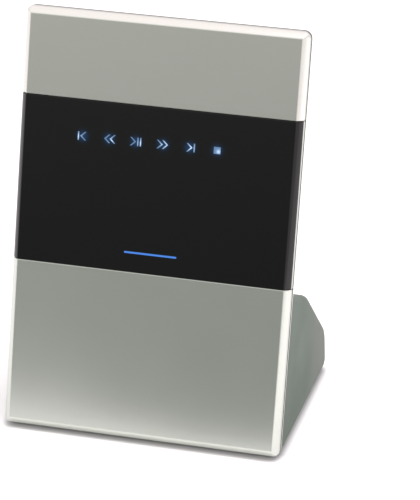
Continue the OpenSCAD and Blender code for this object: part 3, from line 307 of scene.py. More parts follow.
def lampField(tree, lamps):  # 1 at the lamp behind each symbol, falling off round it
    place = addNode(tree, "ShaderNodeTexCoord", output="Object")
    light = 0.0
    for number, (across, up, spread) in enumerate(lamps):
        middle = symbolRow["first"] + symbolRow["pitch"] * number
        lamp = tuple(onFascia(middle + across, symbolRow["up"] + up, 0))
        away = addNode(tree, "ShaderNodeVectorMath", (place, lamp), "Value", operation="DISTANCE")
        share = addNode(tree, "ShaderNodeMath", (away, spread * mm), 0, operation="DIVIDE")
        square = addNode(tree, "ShaderNodeMath", (share, share), 0, operation="MULTIPLY")
        minus = addNode(tree, "ShaderNodeMath", (square, -1.0), 0, operation="MULTIPLY")
        fall = addNode(tree, "ShaderNodeMath", (minus, 0.0), 0, operation="EXPONENT")
        light = addNode(tree, "ShaderNodeMath", (light, fall), 0, operation="MAXIMUM")
    return light


def lightSymbols():  # each symbol is lit from one small lamp behind it, so it fades to blue at its ends
    tree, shader = shaderOf(finishes["litSymbol"])
    near = lampField(tree, symbolRow["lamps"])
    setInputs(tree, shader, {
        "Emission Color": addNode(tree, "ShaderNodeMix", {
            "Factor": near, "A": linear(symbolRow["faint"]), "B": linear(symbolRow["bright"]),
        }, "Result", data_type="RGBA"),
        "Emission Strength": addNode(tree, "ShaderNodeMapRange", (
            near, 0.0, 1.0, *symbolRow["strength"]), "Result"),
    })
    tree, shader = shaderOf(finishes["glossAcrylic"])  # a little spreads in the acrylic round the symbols
    halo = lampField(tree, [(0.0, 0.0, symbolRow["haloSpread"])] * len(symbolRow["lamps"]))
    setInputs(tree, shader, {
        "Emission Color": linear(symbolRow["haloColour"]),
        "Emission Strength": addNode(tree, "ShaderNodeMath", (
            halo, symbolRow["halo"]), 0, operation="MULTIPLY"),
    })


paintFootSheen()
drawTraces()
lightSymbols()
print("finishes made:", len(finishes))


def toMesh(form, name):
    mesh = bpy.data.meshes.new(name)
    form.to_mesh(mesh)
    form.free()
    return mesh


def toForm(mesh):
    form = bmesh.new()
    form.from_mesh(mesh)
    return form


def cadForm(node):  # a copy of a CAD solid, whose loose triangles are merged
    form = toForm(nodes[node].data)
    bmesh.ops.remove_doubles(form, verts=form.verts, dist=2e-6)
    return form


def linked(name, data):
    made = bpy.data.objects.new(name, data)
    bpy.context.scene.collection.objects.link(made)
    return made


def asObject(form, name):
    return linked(name, toMesh(form, name))


def opened(piece):  # an object's mesh, to work on; the object goes
    form = toForm(piece.data)
    bpy.data.objects.remove(piece)
    return form


def applied(piece):  # the mesh as its modifiers leave it; they go
    graph = bpy.context.evaluated_depsgraph_get()
    mesh = bpy.data.meshes.new_from_object(piece.evaluated_get(graph))
    piece.modifiers.clear()
    return mesh


def addPiece(name, mesh, material, node=None):  # detail that stands for no node is the housing's
    piece = linked(name, mesh)
    if material:
        mesh.materials.clear()
        mesh.materials.append(material)
    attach(piece, bodyOf[node] if node else "housing")
    if node:
        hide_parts(node)
    return piece


def smoothEdges(mesh, angle=32):  # soft shading, kept crisp where faces meet at more than the angle
    form = toForm(mesh)
    for face in form.faces:
        face.smooth = True
    for edge in form.edges:
        edge.smooth = len(edge.link_faces) == 2 and edge.calc_face_angle(0) < math.radians(angle)
    form.to_mesh(mesh)
    form.free()


def shade(piece, angle=32):  # large faces lead the shading, so flats stay flat beside rounded edges
    smoothEdges(piece.data, angle)
    modifier = piece.modifiers.new("weigh", "WEIGHTED_NORMAL")
    modifier.keep_sharp = True
    modifier.weight = 100
    piece.data = applied(piece)


def shadedPiece(name, form, material, node, angle=32):
    piece = addPiece(name, toMesh(form, name), material, node)
    shade(piece, angle)
    return piece


def paintWhere(piece, material, chosen):  # a second finish on the faces whose middle is chosen
    piece.data.materials.append(material)
    index = len(piece.data.materials) - 1
    for polygon in piece.data.polygons:
        if chosen(polygon.center):
            polygon.material_index = index


def joinFlats(form, degrees):  # merges faces that lie nearly in one plane
    bmesh.ops.dissolve_limit(form, angle_limit=math.radians(degrees), verts=form.verts, edges=form.edges)


def bevelLong(form, width, shortest=0.6):  # rounds the sharp edges that are longer than the shortest, in mm
    edges = [edge for edge in form.edges if len(edge.link_faces) == 2
             and edge.calc_face_angle(0) > math.radians(38) and edge.calc_length() > shortest * mm]
    if edges:
        bmesh.ops.bevel(form, geom=edges, offset=width * mm, segments=2, profile=0.5,
                        affect="EDGES", clamp_overlap=True)


def boxLoop(left, right, low, high):
    return [(left, low), (right, low), (right, high), (left, high)]


def roundedLoop(width, height, radius, steps=6):
    loop = []
    for k, (x, y) in enumerate(((1, 1), (-1, 1), (-1, -1), (1, -1))):
        for i in range(steps + 1):
            a = math.radians(90 * k + 90 * i / steps)
            loop.append((x * (width / 2 - radius) + radius * math.cos(a),
                         y * (height / 2 - radius) + radius * math.sin(a)))
    return loop


def circleLoop(radius, u=0.0, v=0.0, steps=20):
    return [(u + radius * math.cos(2 * math.pi * k / steps), v + radius * math.sin(2 * math.pi * k / steps))
            for k in range(steps)]


def shifted(loop, u, v):
    return [(a + u, b + v) for a, b in loop]


def bridge(form, rings):  # walls from each ring of points to the next
    for a, b in zip(rings, rings[1:]):
        for k in range(len(a)):
            n = (k + 1) % len(a)
            form.faces.new((a[k], a[n], b[n], b[k]))


def carve(piece, tool, operation="DIFFERENCE"):  # a boolean that is applied at once; the tool goes
    modifier = piece.modifiers.new("cut", "BOOLEAN")
    modifier.operation = operation
    modifier.solver = "EXACT"
    modifier.object = tool
    piece.data = applied(piece)
    bpy.data.objects.remove(tool)


# the fascia: three zones with one bevel that runs over them
fasciaDetail = {
    "bevelSteps": 22,
    "cornerSteps": 10,
    "crease": 0.75,  # mm over which the bevel's front edge is rounded
    "creaseSteps": 6,
    "faceCorner": 0.05,  # mm, the corner radius on the front face
    "seamRound": (0.2, 0.8),  # mm, at a zone's lower seam and at its upper seam
    "rib": 1.6,  # mm, the rim along a seam
    "rimFrom": 5.1,  # mm behind the face, where the lacquer of the frame starts
    "crisp": 28,  # degrees
}
cornerTurns = {  # which side and end a corner is at, and where its quarter circle starts
    "rightTop": (1, 1, 0),
    "leftTop": (-1, 1, 90),
    "leftBottom": (-1, 0, 180),
    "rightBottom": (1, 0, 270),
}


def bevelProfile():  # (inset, depth) from the front face over a small crease to the back of the bevel
    points = []
    for i in range(fasciaDetail["bevelSteps"] + 1):
        share = i / fasciaDetail["bevelSteps"]
        points.append((slab["bevelIn"] * (1 - share) ** slab["bevelCurve"], slab["bevelDepth"] * share))
    first, second = points[0], points[1]
    run = math.hypot(first[0] - second[0], second[1] - first[1])
    crease = fasciaDetail["crease"]
    start = (first[0] + crease, 0.0)
    end = (first[0] - (first[0] - second[0]) / run * crease, (second[1] - first[1]) / run * crease)
    soft = []
    for i in range(fasciaDetail["creaseSteps"] + 1):  # a short curve in place of the sharp crease
        t = i / fasciaDetail["creaseSteps"]
        soft.append(tuple((1 - t) ** 2 * a + 2 * t * (1 - t) * b + t * t * c
                          for a, b, c in zip(start, first, end)))
    return soft + [p for p in points[1:] if p[1] > end[1] + 0.02]


def profileInward(profile, i):  # unit step into the material, as (towards the middle, deeper)
    a, b = profile[max(0, i - 1)], profile[min(len(profile) - 1, i + 1)]
    along = (b[0] - a[0], b[1] - a[1])
    run = math.hypot(*along) or 1
    return (along[1] / run, -along[0] / run) if i else (0.0, 1.0)


def seamColumns(profile, side, level, towards):  # three sections that round a zone's edge at the seam
    soft = fasciaDetail["seamRound"][0 if towards > 0 else 1]
    made = []
    for turn in (0, 45, 90):
        a = math.radians(turn)
        inward, rise = soft * (1 - math.sin(a)), soft * (1 - math.cos(a))
        column = []
        for i, (inset, depth) in enumerate(profile):
            step = profileInward(profile, i)
            half = slab["width"] / 2 - inset
            column.append((side * (half - step[0] * inward), level + towards * rise,
                           depth + step[1] * inward))
        made.append(column)
    return made


def cornerColumns(profile, corner):  # sections round one of the fascia's own corners
    side, atTop, start = cornerTurns[corner]
    made = []
    for k in range(fasciaDetail["cornerSteps"] + 1):
        a = math.radians(start + 90 * (k / fasciaDetail["cornerSteps"]))
        column = []
        for inset, depth in profile:
            radius = fasciaDetail["faceCorner"] + slab["cornerRadius"] * depth / slab["bevelDepth"]
            x = side * (slab["width"] / 2 - inset - radius)
            y = slab["height"] - inset - radius if atTop else inset + radius
            column.append((x + radius * math.cos(a), y + radius * math.sin(a), depth))
        made.append(column)
    return made


def fasciaForm(low, high):  # one zone; it ends in a rounded seam, or in the fascia's own bottom or top
    atBottom, atTop = low == 0, high == slab["height"]
    profile = bevelProfile()
    if atBottom:
        rightRun, leftEnd = cornerColumns(profile, "rightBottom"), cornerColumns(profile, "leftBottom")
    else:
        rightRun, leftEnd = seamColumns(profile, 1, low, 1), seamColumns(profile, -1, low, 1)[::-1]
    if atTop:
        rightRun += cornerColumns(profile, "rightTop")
        leftRun = cornerColumns(profile, "leftTop") + leftEnd
    else:
        rightRun += seamColumns(profile, 1, high, -1)[::-1]
        leftRun = seamColumns(profile, -1, high, -1) + leftEnd
    form = bmesh.new()
    grid = [[form.verts.new(onFascia(*point)) for point in column] for column in rightRun + leftRun]
    split, count, last = len(rightRun), len(grid), len(profile) - 1
    joins = [k for k in range(count - 1) if k != split - 1]
    if atTop:
        joins.append(split - 1)
    if atBottom:
        joins.append(count - 1)
    for k in joins:
        a, b = grid[k], grid[(k + 1) % count]
        for i in range(last):
            form.faces.new((a[i], b[i], b[i + 1], a[i + 1]))
    seams = ([] if atTop else [(split - 1, -1, split, 1)]) + ([] if atBottom else [(0, 1, count - 1, -1)])
    for right, rightStep, left, leftStep in seams:  # strips across the seam's rounded edge, on the front
        for j in range(2):
            corners = (right + j * rightStep, right + (j + 1) * rightStep,
                       left + (j + 1) * leftStep, left + j * leftStep)
            form.faces.new([grid[k][0] for k in corners])
    # the back: rim, hollow and the inside of the face
    rim, rib, side = slab["rim"], fasciaDetail["rib"], slab["width"] / 2 - slab["rim"]
    innerLow = rim if atBottom else low + rib
    innerHigh = slab["height"] - rim if atTop else high - rib
    corners = boxLoop(-side, side, innerLow, innerHigh)
    backRim = [form.verts.new(onFascia(x, y, slab["bevelDepth"])) for x, y in corners]
    ceiling = [form.verts.new(onFascia(x, y, slab["wall"])) for x, y in corners]
    bridge(form, (backRim, ceiling))
    form.faces.new(ceiling[::-1])
    # seam faces: the whole section across the seam, down to the rim's back
    if not atTop:
        form.faces.new(grid[split - 1][::-1] + grid[split])
    if not atBottom:
        form.faces.new(grid[0] + grid[count - 1][::-1])
    back = [column[last] for column in grid]
    pairs = [(back[k], back[(k + 1) % count]) for k in range(count)]
    edges = [form.edges.get(pair) or form.edges.new(pair) for pair in pairs]
    edges += [form.edges.get((backRim[k], backRim[(k + 1) % 4])) for k in range(4)]
    bmesh.ops.triangle_fill(form, use_beauty=True, use_dissolve=False, edges=edges)
    skipLow, skipHigh = 0 if atBottom else 2, 0 if atTop else 2  # the sections that round a seam
    front = grid[skipLow:split - skipHigh] + grid[split + skipHigh:count - skipLow]
    form.faces.new([column[0] for column in front])
    bmesh.ops.remove_doubles(form, verts=form.verts, dist=1e-6)
    bmesh.ops.recalc_face_normals(form, faces=form.faces)
    return form


def fasciaZone(name, node, low, high, look):
    piece = shadedPiece(name, fasciaForm(low, high), finishes[look], node, fasciaDetail["crisp"])
    paintWhere(piece, finishes["frameLacquer"],  # the rear rim is lacquered like the frame behind it
               lambda middle: depthBehindFace(middle) > fasciaDetail["rimFrom"])


gap = slab["seam"] / 2
fasciaZone("upperFascia", "upper_panel", slab["windowHigh"] + gap, slab["height"], "upperSatinSilver")
fasciaZone("touchWindow", "touch_window", slab["windowLow"] + gap, slab["windowHigh"] - gap, "glossAcrylic")
fasciaZone("lowerFascia", "lower_panel", 0, slab["windowLow"] - gap, "lowerSatinSilverShaded")
print("fascia made")

# the foot: a hollow wedge with softened sides, cut by its bay mouth and its slots
footForm = {  # side view, in millimetres behind and above the fascia's lower front corner: y, z, radius
    "width": 181.8,
    "lift": 0.8,  # its underside stands this far above the table, on its rubber pads
    "knee": (68.7, 57.8, 25.1),
    "nose": (121.8, 19.3, 20.2),
    "heel": (136.7, 7.7, 7.7),
    "shoulder": (33.213, 100.8),
    "shoulderSlope": 23.4,
    "ahead": 16.0,
    "sideRound": 5.0,
    "wall": 2.4,
    "frameBack": 10.8,
    "mouth": (22.3, 128.5, 2.9, 31.5, 4.0),  # front, back, low, high, corner radius
    "sideSteps": 7,
    "firstTurn": -86.4,  # degrees, where the outline starts, on the underside
    "arcStep": 2.5,
}
footCuts = {  # mm: the openings of the shell, and what stands in it for the screws
    "opening": (11.7525, 136.3, 3.0),  # front, back, corner radius
    "rebate": (5.4, 1.2),  # where the base plate lies: in from the side, and its depth
    "flange": (6.6, 2.9),
    "floorScrews": ((-82.3, 0, 82.3), (14.95, 133.1)),  # across, back
    "floorPost": (2.4, 1.2, 8.2),  # radius, from, to
    "floorHole": (1.4, -1, 7),
    "frameScrews": ((-80.9, 80.9), (50, 86)),  # across, up
    "framePost": (3.2, 10.8, 19.8),
    "frameHole": (1.4, 9.8, 18.3),
    "web": (84.9, 4.2, 1.2, 10.9, 19.7),  # post to side: middle, half length, half thickness, depths
    "groove": (0.8, 0.2, 0.55),  # in from the side, before and behind the frame's back
    "grooveUp": (-6, 130),
}
backSlope = {  # mm and degrees
    "angle": 40.2283,
    "middle": (109.878, 55.8427),
    "fanUp": 3.0,
    "fanPitch": 4.0,
    "fanReach": 17.6,
    "fanScrews": 16.0,
    "screwHole": 1.4,
    "slotWidth": 2.0,
    "slotCorner": 0.98,
    "slotDepth": (-4, 1),
    "sidePitch": 5.0,
    "sideStart": 29.0,
    "sideLength": 22.0,
    "sideCount": 7,
}
slopeAngle = math.radians(backSlope["angle"])
slopeOut = Vector((0, math.sin(slopeAngle), math.cos(slopeAngle)))


def inFoot(x, y, z):
    return Vector((x, slab["edgeY"] + y, footForm["lift"] + z)) * mm


def acrossFoot(u, v, w):  # an outline in the side view, drawn out along X
    return inFoot(w, u, v)


def onSlope(x, v, w):  # across and up the foot's back slope, and out of it
    y, z = backSlope["middle"]
    return inFoot(x, y - v * math.cos(slopeAngle) + w * math.sin(slopeAngle),
                  z + v * math.sin(slopeAngle) + w * math.cos(slopeAngle))


def upright(u, v, w):
    return Vector((u, v, w)) * mm


def edgeways(u, v, w):  # an outline in Y and Z, drawn out along X
    return Vector((w, u, v)) * mm


def footSources(inset):  # what the side view is stretched over, as circles
    lean = math.radians(footForm["shoulderSlope"])
    y, z = footForm["shoulder"]
    out = (math.sin(lean), math.cos(lean))
    along = (-math.cos(lean) * footForm["ahead"], math.sin(lean) * footForm["ahead"])
    circles = [(*footForm[name][:2], footForm[name][2] - inset) for name in ("heel", "nose", "knee")]
    circles.append((y + along[0] - inset * out[0], z + along[1] - inset * out[1], 0.0))
    circles.append((-footForm["ahead"], inset, 0.0))
    return circles


def footDirections():  # outward directions and the circle that each one meets
    def meets(angle):
        way = (math.cos(angle), math.sin(angle))
        reached = [y * way[0] + z * way[1] + radius for y, z, radius in footSources(0)]
        return reached.index(max(reached))

    step = math.radians(footForm["arcStep"])
    angle, found = math.radians(footForm["firstTurn"]), []
    end = angle + 2 * math.pi
    while angle < end:
        here, after = meets(angle), meets(angle + step)
        found.append((angle, here))
        if here != after:  # the exact direction at which the outline passes to the next circle
            low, high = angle, angle + step
            for _ in range(30):
                middle = (low + high) / 2
                low, high = (middle, high) if meets(middle) == here else (low, middle)
            found += [(low, here), (low, after)]
        angle += step
    return found


def footOutline(directions, inset):
    circles = footSources(inset)
    points = []
    for angle, index in directions:
        y, z, radius = circles[index]
        points.append((y + radius * math.cos(angle), max(inset, z + radius * math.sin(angle))))
    return points


def footSolid(shrink):
    directions = footDirections()
    soft = footForm["sideRound"] - shrink
    layers = []
    for i in range(footForm["sideSteps"] + 1):
        turn = math.radians(90 * i / footForm["sideSteps"])
        layers.append((footForm["width"] / 2 - shrink - soft * (1 - math.sin(turn)),
                       footOutline(directions, shrink + soft * (1 - math.cos(turn)))))
    sections = [(-x, outline) for x, outline in layers[::-1]] + layers
    form = bmesh.new()
    rings = [[form.verts.new(inFoot(x, y, z)) for y, z in outline] for x, outline in sections]
    bridge(form, rings)
    form.faces.new(rings[0])
    form.faces.new(rings[-1][::-1])
    bmesh.ops.remove_doubles(form, verts=form.verts, dist=1e-5)
    bmesh.ops.dissolve_degenerate(form, edges=form.edges, dist=1e-6)
    bmesh.ops.recalc_face_normals(form, faces=form.faces)
    return form


def stacked(form, rings):  # a closed form over rings of points
    bridge(form, rings)
    form.faces.new(rings[0][::-1])
    form.faces.new(rings[-1])


def prismObject(name, *prisms):  # each is (loop, place, low, high); place(u, v, w) puts a point at height w
    form = bmesh.new()
    for loop, place, low, high in prisms:
        stacked(form, [[form.verts.new(place(u, v, w)) for u, v in loop] for w in (low, high)])
    bmesh.ops.recalc_face_normals(form, faces=form.faces)
    return asObject(form, name)


def revolved(name, outline, steps=20):  # outline: (radius, height) in millimetres, from end to end
    form = bmesh.new()
    rings = []
    for radius, height in outline:
        count = steps if radius > 0.001 else 1
        turns = [2 * math.pi * k / steps for k in range(count)]
        rings.append([form.verts.new(upright(radius * math.cos(a), radius * math.sin(a), height))
                      for a in turns])
    for a, b in zip(rings, rings[1:]):
        for k in range(steps):
            n = (k + 1) % steps
            form.faces.new(dict.fromkeys((a[k % len(a)], a[n % len(a)], b[n % len(b)], b[k % len(b)])))
    bmesh.ops.recalc_face_normals(form, faces=form.faces)
    return asObject(form, name)


def patternTree(name, sockets, build):  # a tree that repeats one part, with named inputs
    tree = bpy.data.node_groups.new(name, "GeometryNodeTree")
    tree.interface.new_socket("Geometry", in_out="OUTPUT", socket_type="NodeSocketGeometry")
    for label, kind in (*sockets.items(), ("Part", "Object"), ("Finish", "Material")):
        tree.interface.new_socket(label, in_out="INPUT", socket_type="NodeSocket" + kind)
    start = addNode(tree, "NodeGroupInput").outputs
    part = addNode(tree, "GeometryNodeObjectInfo", {"Object": start["Part"]}, "Geometry")
    solid = addNode(tree, "GeometryNodeRealizeInstances", {"Geometry": build(tree, start, part)}, 0)
    painted = addNode(tree, "GeometryNodeSetMaterial", {"Geometry": solid, "Material": start["Finish"]}, 0)
    addNode(tree, "NodeGroupOutput", {"Geometry": painted})
    return tree


def placedCopies(tree, start, part):  # a copy on each point, turned as the point says and spun by chance
    places = addNode(tree, "GeometryNodeObjectInfo", {"Object": start["Places"]}, "Geometry")
    turn = addNode(tree, "GeometryNodeInputNamedAttribute", {"Name": "turn"}, "Attribute",
                   data_type="FLOAT_VECTOR")
    copies = addNode(tree, "GeometryNodeInstanceOnPoints", {
        "Points": places, "Instance": part, "Rotation": turn}, 0)
    chance = addNode(tree, "FunctionNodeRandomValue", {"Seed": start["Seed"]}, "Value", data_type="FLOAT")
    angle = addNode(tree, "ShaderNodeMath", (chance, math.pi), 0, operation="MULTIPLY")
    spin = addNode(tree, "ShaderNodeCombineXYZ", {"Z": angle}, 0)
    return addNode(tree, "GeometryNodeRotateInstances", {"Instances": copies, "Rotation": spin}, 0)


def rowCopies(tree, start, part):  # rows and columns
    column = addNode(tree, "GeometryNodeMeshLine", {
        "Count": start["Columns"], "Offset": start["Column Step"]}, 0)
    row = addNode(tree, "GeometryNodeMeshLine", {"Count": start["Rows"], "Offset": start["Row Step"]}, 0)
    lines = addNode(tree, "GeometryNodeInstanceOnPoints", {"Points": row, "Instance": column}, 0)
    points = addNode(tree, "GeometryNodeRealizeInstances", {"Geometry": lines}, 0)
    return addNode(tree, "GeometryNodeInstanceOnPoints", {"Points": points, "Instance": part}, 0)


def ringCopies(tree, start, part):  # evenly round the Z axis
    points = addNode(tree, "GeometryNodePoints", {"Count": start["Count"]}, 0)
    index = addNode(tree, "GeometryNodeInputIndex", output=0)
    share = addNode(tree, "ShaderNodeMath", (2 * math.pi, start["Count"]), 0, operation="DIVIDE")
    angle = addNode(tree, "ShaderNodeMath", (index, share), 0, operation="MULTIPLY")
    turn = addNode(tree, "ShaderNodeCombineXYZ", {"Z": angle}, 0)
    return addNode(tree, "GeometryNodeInstanceOnPoints", {
        "Points": points, "Instance": part, "Rotation": turn}, 0)


def strewnCopies(tree, start, part):  # small parts over a field, square to it, of varied size
    field = addNode(tree, "GeometryNodeObjectInfo", {"Object": start["Field"]}, "Geometry")
    points = addNode(tree, "GeometryNodeDistributePointsOnFaces", {
        "Mesh": field, "Distance Min": start["Spacing"], "Density Max": 1e6, "Seed": start["Seed"],
    }, "Points", distribute_method="POISSON")
    quarters = addNode(tree, "FunctionNodeRandomValue", {
        "Min": 0, "Max": 3, "Seed": start["Seed"]}, "Value", data_type="INT")
    angle = addNode(tree, "ShaderNodeMath", (quarters, math.pi / 2), 0, operation="MULTIPLY")
    size = addNode(tree, "FunctionNodeRandomValue", {
        "Min": (0.6, 0.6, 0.6), "Max": (1.3, 1.3, 1.2), "Seed": start["Seed"],
    }, "Value", data_type="FLOAT_VECTOR")
    turn = addNode(tree, "ShaderNodeCombineXYZ", {"Z": angle}, 0)
    return addNode(tree, "GeometryNodeInstanceOnPoints", {
        "Points": points, "Instance": part, "Scale": size, "Rotation": turn}, 0)


placed = patternTree("copies on places", {"Places": "Object", "Seed": "Int"}, placedCopies)
rows = patternTree("rows of copies", {
    "Columns": "Int", "Column Step": "Vector", "Rows": "Int", "Row Step": "Vector"}, rowCopies)
ring = patternTree("ring of copies", {"Count": "Int"}, ringCopies)
strewn = patternTree("strewn copies", {"Field": "Object", "Spacing": "Float", "Seed": "Int"}, strewnCopies)


def patternMesh(tree, values, place=None):  # runs a tree once and keeps its mesh; the objects it used go
    carrier = asObject(bmesh.new(), tree.name)
    modifier = carrier.modifiers.new("pattern", "NODES")
    modifier.node_group = tree
    for item in tree.interface.items_tree:
        if item.name in values:
            modifier[item.identifier] = values[item.name]
    mesh = applied(carrier)
    if place:
        mesh.transform(place)
        if place.determinant() < 0:
            mesh.flip_normals()
    for used in [carrier] + [value for value in values.values() if isinstance(value, bpy.types.Object)]:
        bpy.data.objects.remove(used)
    return mesh


def joined(name, *meshes):  # several meshes as one, each keeping its finish
    form = bmesh.new()
    materials = []
    for mesh in meshes:
        first = len(form.faces)
        form.from_mesh(mesh)
        form.faces.ensure_lookup_table()
        for face in form.faces[first:]:
            look = mesh.materials[face.material_index]
            if look not in materials:
                materials.append(look)
            face.material_index = materials.index(look)
    made = toMesh(form, name)
    for look in materials:
        made.materials.append(look)
    return made


def leanedFoot():  # the foot's outer form, cut off where it meets the frame's back
    form = footSolid(0.0)
    parts = form.verts[:] + form.edges[:] + form.faces[:]
    cut = bmesh.ops.bisect_plane(form, geom=parts, dist=1e-6, clear_inner=True, plane_no=rearward,
                                 plane_co=onFascia(0, 0, footForm["frameBack"]))
    rim = [edge for edge in cut["geom_cut"] if isinstance(edge, bmesh.types.BMEdge)]
    bmesh.ops.contextual_create(form, geom=rim)
    bmesh.ops.recalc_face_normals(form, faces=form.faces)
    return asObject(form, "footShell")


def mouthLoop(gap=0.0, steps=6):
    front, back, low, high, radius = footForm["mouth"]
    loop = roundedLoop(back - front - 2 * gap, high - low - 2 * gap, radius - gap, steps)
    return shifted(loop, (front + back) / 2, (low + high) / 2)


def screwColumns(screws, column, place):  # a post or a hole at each screw
    radius, low, high = column
    return [(circleLoop(radius, x, y), place, low, high) for x in screws[0] for y in screws[1]]


def addPosts(shell):
    cuts = footCuts
    posts = screwColumns(cuts["floorScrews"], cuts["floorPost"], inFoot)
    middle, long, thick, low, high = cuts["web"]
    across, ups = cuts["frameScrews"]
    for x in across:
        side = math.copysign(1, x)
        for up in ups:
            web = boxLoop(side * (middle - long), side * (middle + long), up - thick, up + thick)
            posts += screwColumns(((x,), (up,)), cuts["framePost"], onFascia)
            posts.append((web, onFascia, low, high))
    for post in posts:
        carve(shell, prismObject("post", post), "UNION")


def backSlots():  # slots over the fan, slots beside them, and the holes of the fan's screws
    look = backSlope
    wide, corner, up, depth = look["slotWidth"], look["slotCorner"], look["fanUp"], look["slotDepth"]
    slots = []
    for i in range(-4, 5):
        across = i * look["fanPitch"]
        half = math.sqrt(look["fanReach"] ** 2 - across ** 2)
        slots.append((shifted(roundedLoop(2 * half, wide, corner), 0, up - across), onSlope, *depth))
    for side in (-1, 1):
        for i in range(look["sideCount"]):
            x = side * (look["sideStart"] + i * look["sidePitch"])
            slots.append((shifted(roundedLoop(wide, look["sideLength"], corner), x, up), onSlope, *depth))
    for x in (-look["fanScrews"], look["fanScrews"]):
        for v in (-look["fanScrews"], look["fanScrews"]):
            slots.append((circleLoop(look["screwHole"], x, v + up, 16), onSlope, *depth))
    return slots


def footShell():
    cuts, sideX = footCuts, footForm["width"] / 2
    shell = leanedFoot()
    carve(shell, asObject(footSolid(footForm["wall"]), "inner"))
    carve(shell, prismObject("mouth", (mouthLoop(), acrossFoot, -sideX - 9, -sideX + 9)))
    addPosts(shell)
    front, back, corner = cuts["opening"]
    rimIn, rebateHigh = cuts["rebate"]
    flange, flangeHigh = cuts["flange"]
    middle = (front + back) / 2
    wide = roundedLoop(2 * (sideX - rimIn), back - front, corner)
    narrow = roundedLoop(2 * (sideX - rimIn - flange), back - front - 2 * flange, corner)
    carve(shell, prismObject("rebate", (shifted(wide, 0, middle), inFoot, -1, rebateHigh)))
    carve(shell, prismObject("underside", (shifted(narrow, 0, middle), inFoot, -1, flangeHigh)))
    carve(shell, prismObject("slots", *backSlots()))
    holes = screwColumns(cuts["floorScrews"], cuts["floorHole"], inFoot)
    holes += screwColumns(cuts["frameScrews"], cuts["frameHole"], onFascia)
    carve(shell, prismObject("holes", *holes))
    grooveIn, before, behind = cuts["groove"]
    frameBack = footForm["frameBack"]
    groove = [(boxLoop(side * (sideX - grooveIn), side * (sideX + 2), *cuts["grooveUp"]),
               onFascia, frameBack - before, frameBack + behind) for side in (-1, 1)]
    carve(shell, prismObject("groove", *groove))  # a thin parting line where the foot meets the frame, its faces painted charcoal as painted shade
    form = opened(shell)
    joinFlats(form, 0.2)
    piece = shadedPiece("footShell", form, finishes["footLacquerAndSheen"], "foot_shell", 30)
    # painted shade: the groove's faces are charcoal so the parting line reads dark
    paintWhere(piece, finishes["charcoalAbsAndShade"], lambda place:
               frameBack < depthBehindFace(place) < frameBack + behind + 0.05
               and abs(abs(place.x / mm) - sideX + grooveIn) < 0.1)


footShell()
print("foot made")

dressing = {  # node: (piece, finish, edge softening in mm)
    "bezel_frame": ("bezelFrame", "frameLacquer", 0.15),
    "tray_handle": ("trayHandle", "handleLacquer", 0.5),
    "drive_tray": ("driveTray", "zincSheet", 0.2),
    "drive_housing": ("driveHousing", "diecast", 0.5),
    "drive_lid": ("driveLid", "stampedLid", 0.25),
    "connector_plate": ("connectorPlate", "platedPlate", 0.0),
    "base_plate": ("basePlate", "charcoalAbsAndShade", 0.0),
    "power_rocker": ("powerRocker", "switchNylon", 0.3),
    "switch_body": ("switchBody", "mouldedBlack", 0.3),
    "network_socket": ("networkSocket", "tinnedShell", 0.25),
    "usb_sockets": ("usbSockets", "tinnedShell", 0.2),
    "hdmi_socket": ("hdmiSocket", "tinnedShell", 0.2),
    "dc_inlet": ("dcInlet", "mouldedBlack", 0.25),
    "jack_block": ("jackBlock", "mouldedBlack", 0.3),
    "jack_barrels": ("jackBarrels", "nickelBarrel", 0.0),
    **{"jack_insert_" + colour: ("insert" + colour.capitalize(), colour + "Insert", 0.0)
       for colour in insertColours},
    "fan_frame": ("fanFrame", "mouldedBlack", 0.3),
    "guide_rails": ("guideRails", "zincSheet", 0.2),
    "rubber_pads": ("rubberPads", "padRubber", 0.0),
    "reset_button": ("resetButton", "greyButton", 0.0),
    "handle_pin": ("handlePin", "groundPin", 0.0),
}
kept = {  # solids that are right as they are, with their finish
    "status_light": "litBar",
    "chassis_plate": "zincSheet",
    "light_guide": "clearGuide",
    "touch_board": "solderMask",
    "symbol_lights": "whitePackage",
    "infrared_receiver": "violetEpoxy",
    "ribbon_cable": "filmCable",
    "main_board": "solderMask",
    "board_standoffs": "turnedBrass",
    "main_processor": "mouldedEpoxy",
    "memory_chips": "mouldedEpoxy",
    "board_capacitors": "canSleeve",
    "reset_switch": "mouldedBlack",
    "backplane_board": "solderMask",
    "drive_socket": "mouldedBlack",
    "drive_cable": "filmCable",
    "drive_board": "solderMask",
}


def dressSolids():
    for node, (name, look, soft) in dressing.items():  # merged copies with rounded edges
        form = cadForm(node)
        joinFlats(form, 0.6)
        if soft:
            bevelLong(form, soft)
        shadedPiece(name, form, finishes[look], node)
    for node, look in kept.items():
        nodes[node].data.materials.clear()
        nodes[node].data.materials.append(finishes[look])


dressSolids()
print("solids dressed:", len(dressing), "copied,", len(kept), "kept")

bedDepth = 0.3  # mm before the face that a light's bed is cut from, so that no skin is left over it


def symbolForm():  # where two strokes of a symbol meet, the faces between them go
    form = cadForm("touch_symbols")
    between = [face for face in form.faces if abs(face.normal.dot(upFace)) > 0.9
               and sum(len(edge.link_faces) > 2 for edge in face.edges) > 1]
    bmesh.ops.delete(form, geom=between, context="FACES")
    return form


def inlayLights():  # beds in the black window for the lit symbols and the light bar
    window = bpy.data.objects["touchWindow"]
    for form in (symbolForm(), cadForm("status_light")):
        for point in form.verts:
            if depthBehindFace(point.co) < 0.01:
                point.co -= rearward * bedDepth * mm
        carve(window, asObject(form, "lightBed"))
    shade(window, fasciaDetail["crisp"])


addPiece("litSymbols", toMesh(symbolForm(), "litSymbols"), finishes["litSymbol"], "touch_symbols")
inlayLights()
print("lights let into the window")

shadowGap = {"inset": 0.9, "from": 7.6, "to": 8.8, "corner": 4.2}  # mm in from the edge, and behind the face


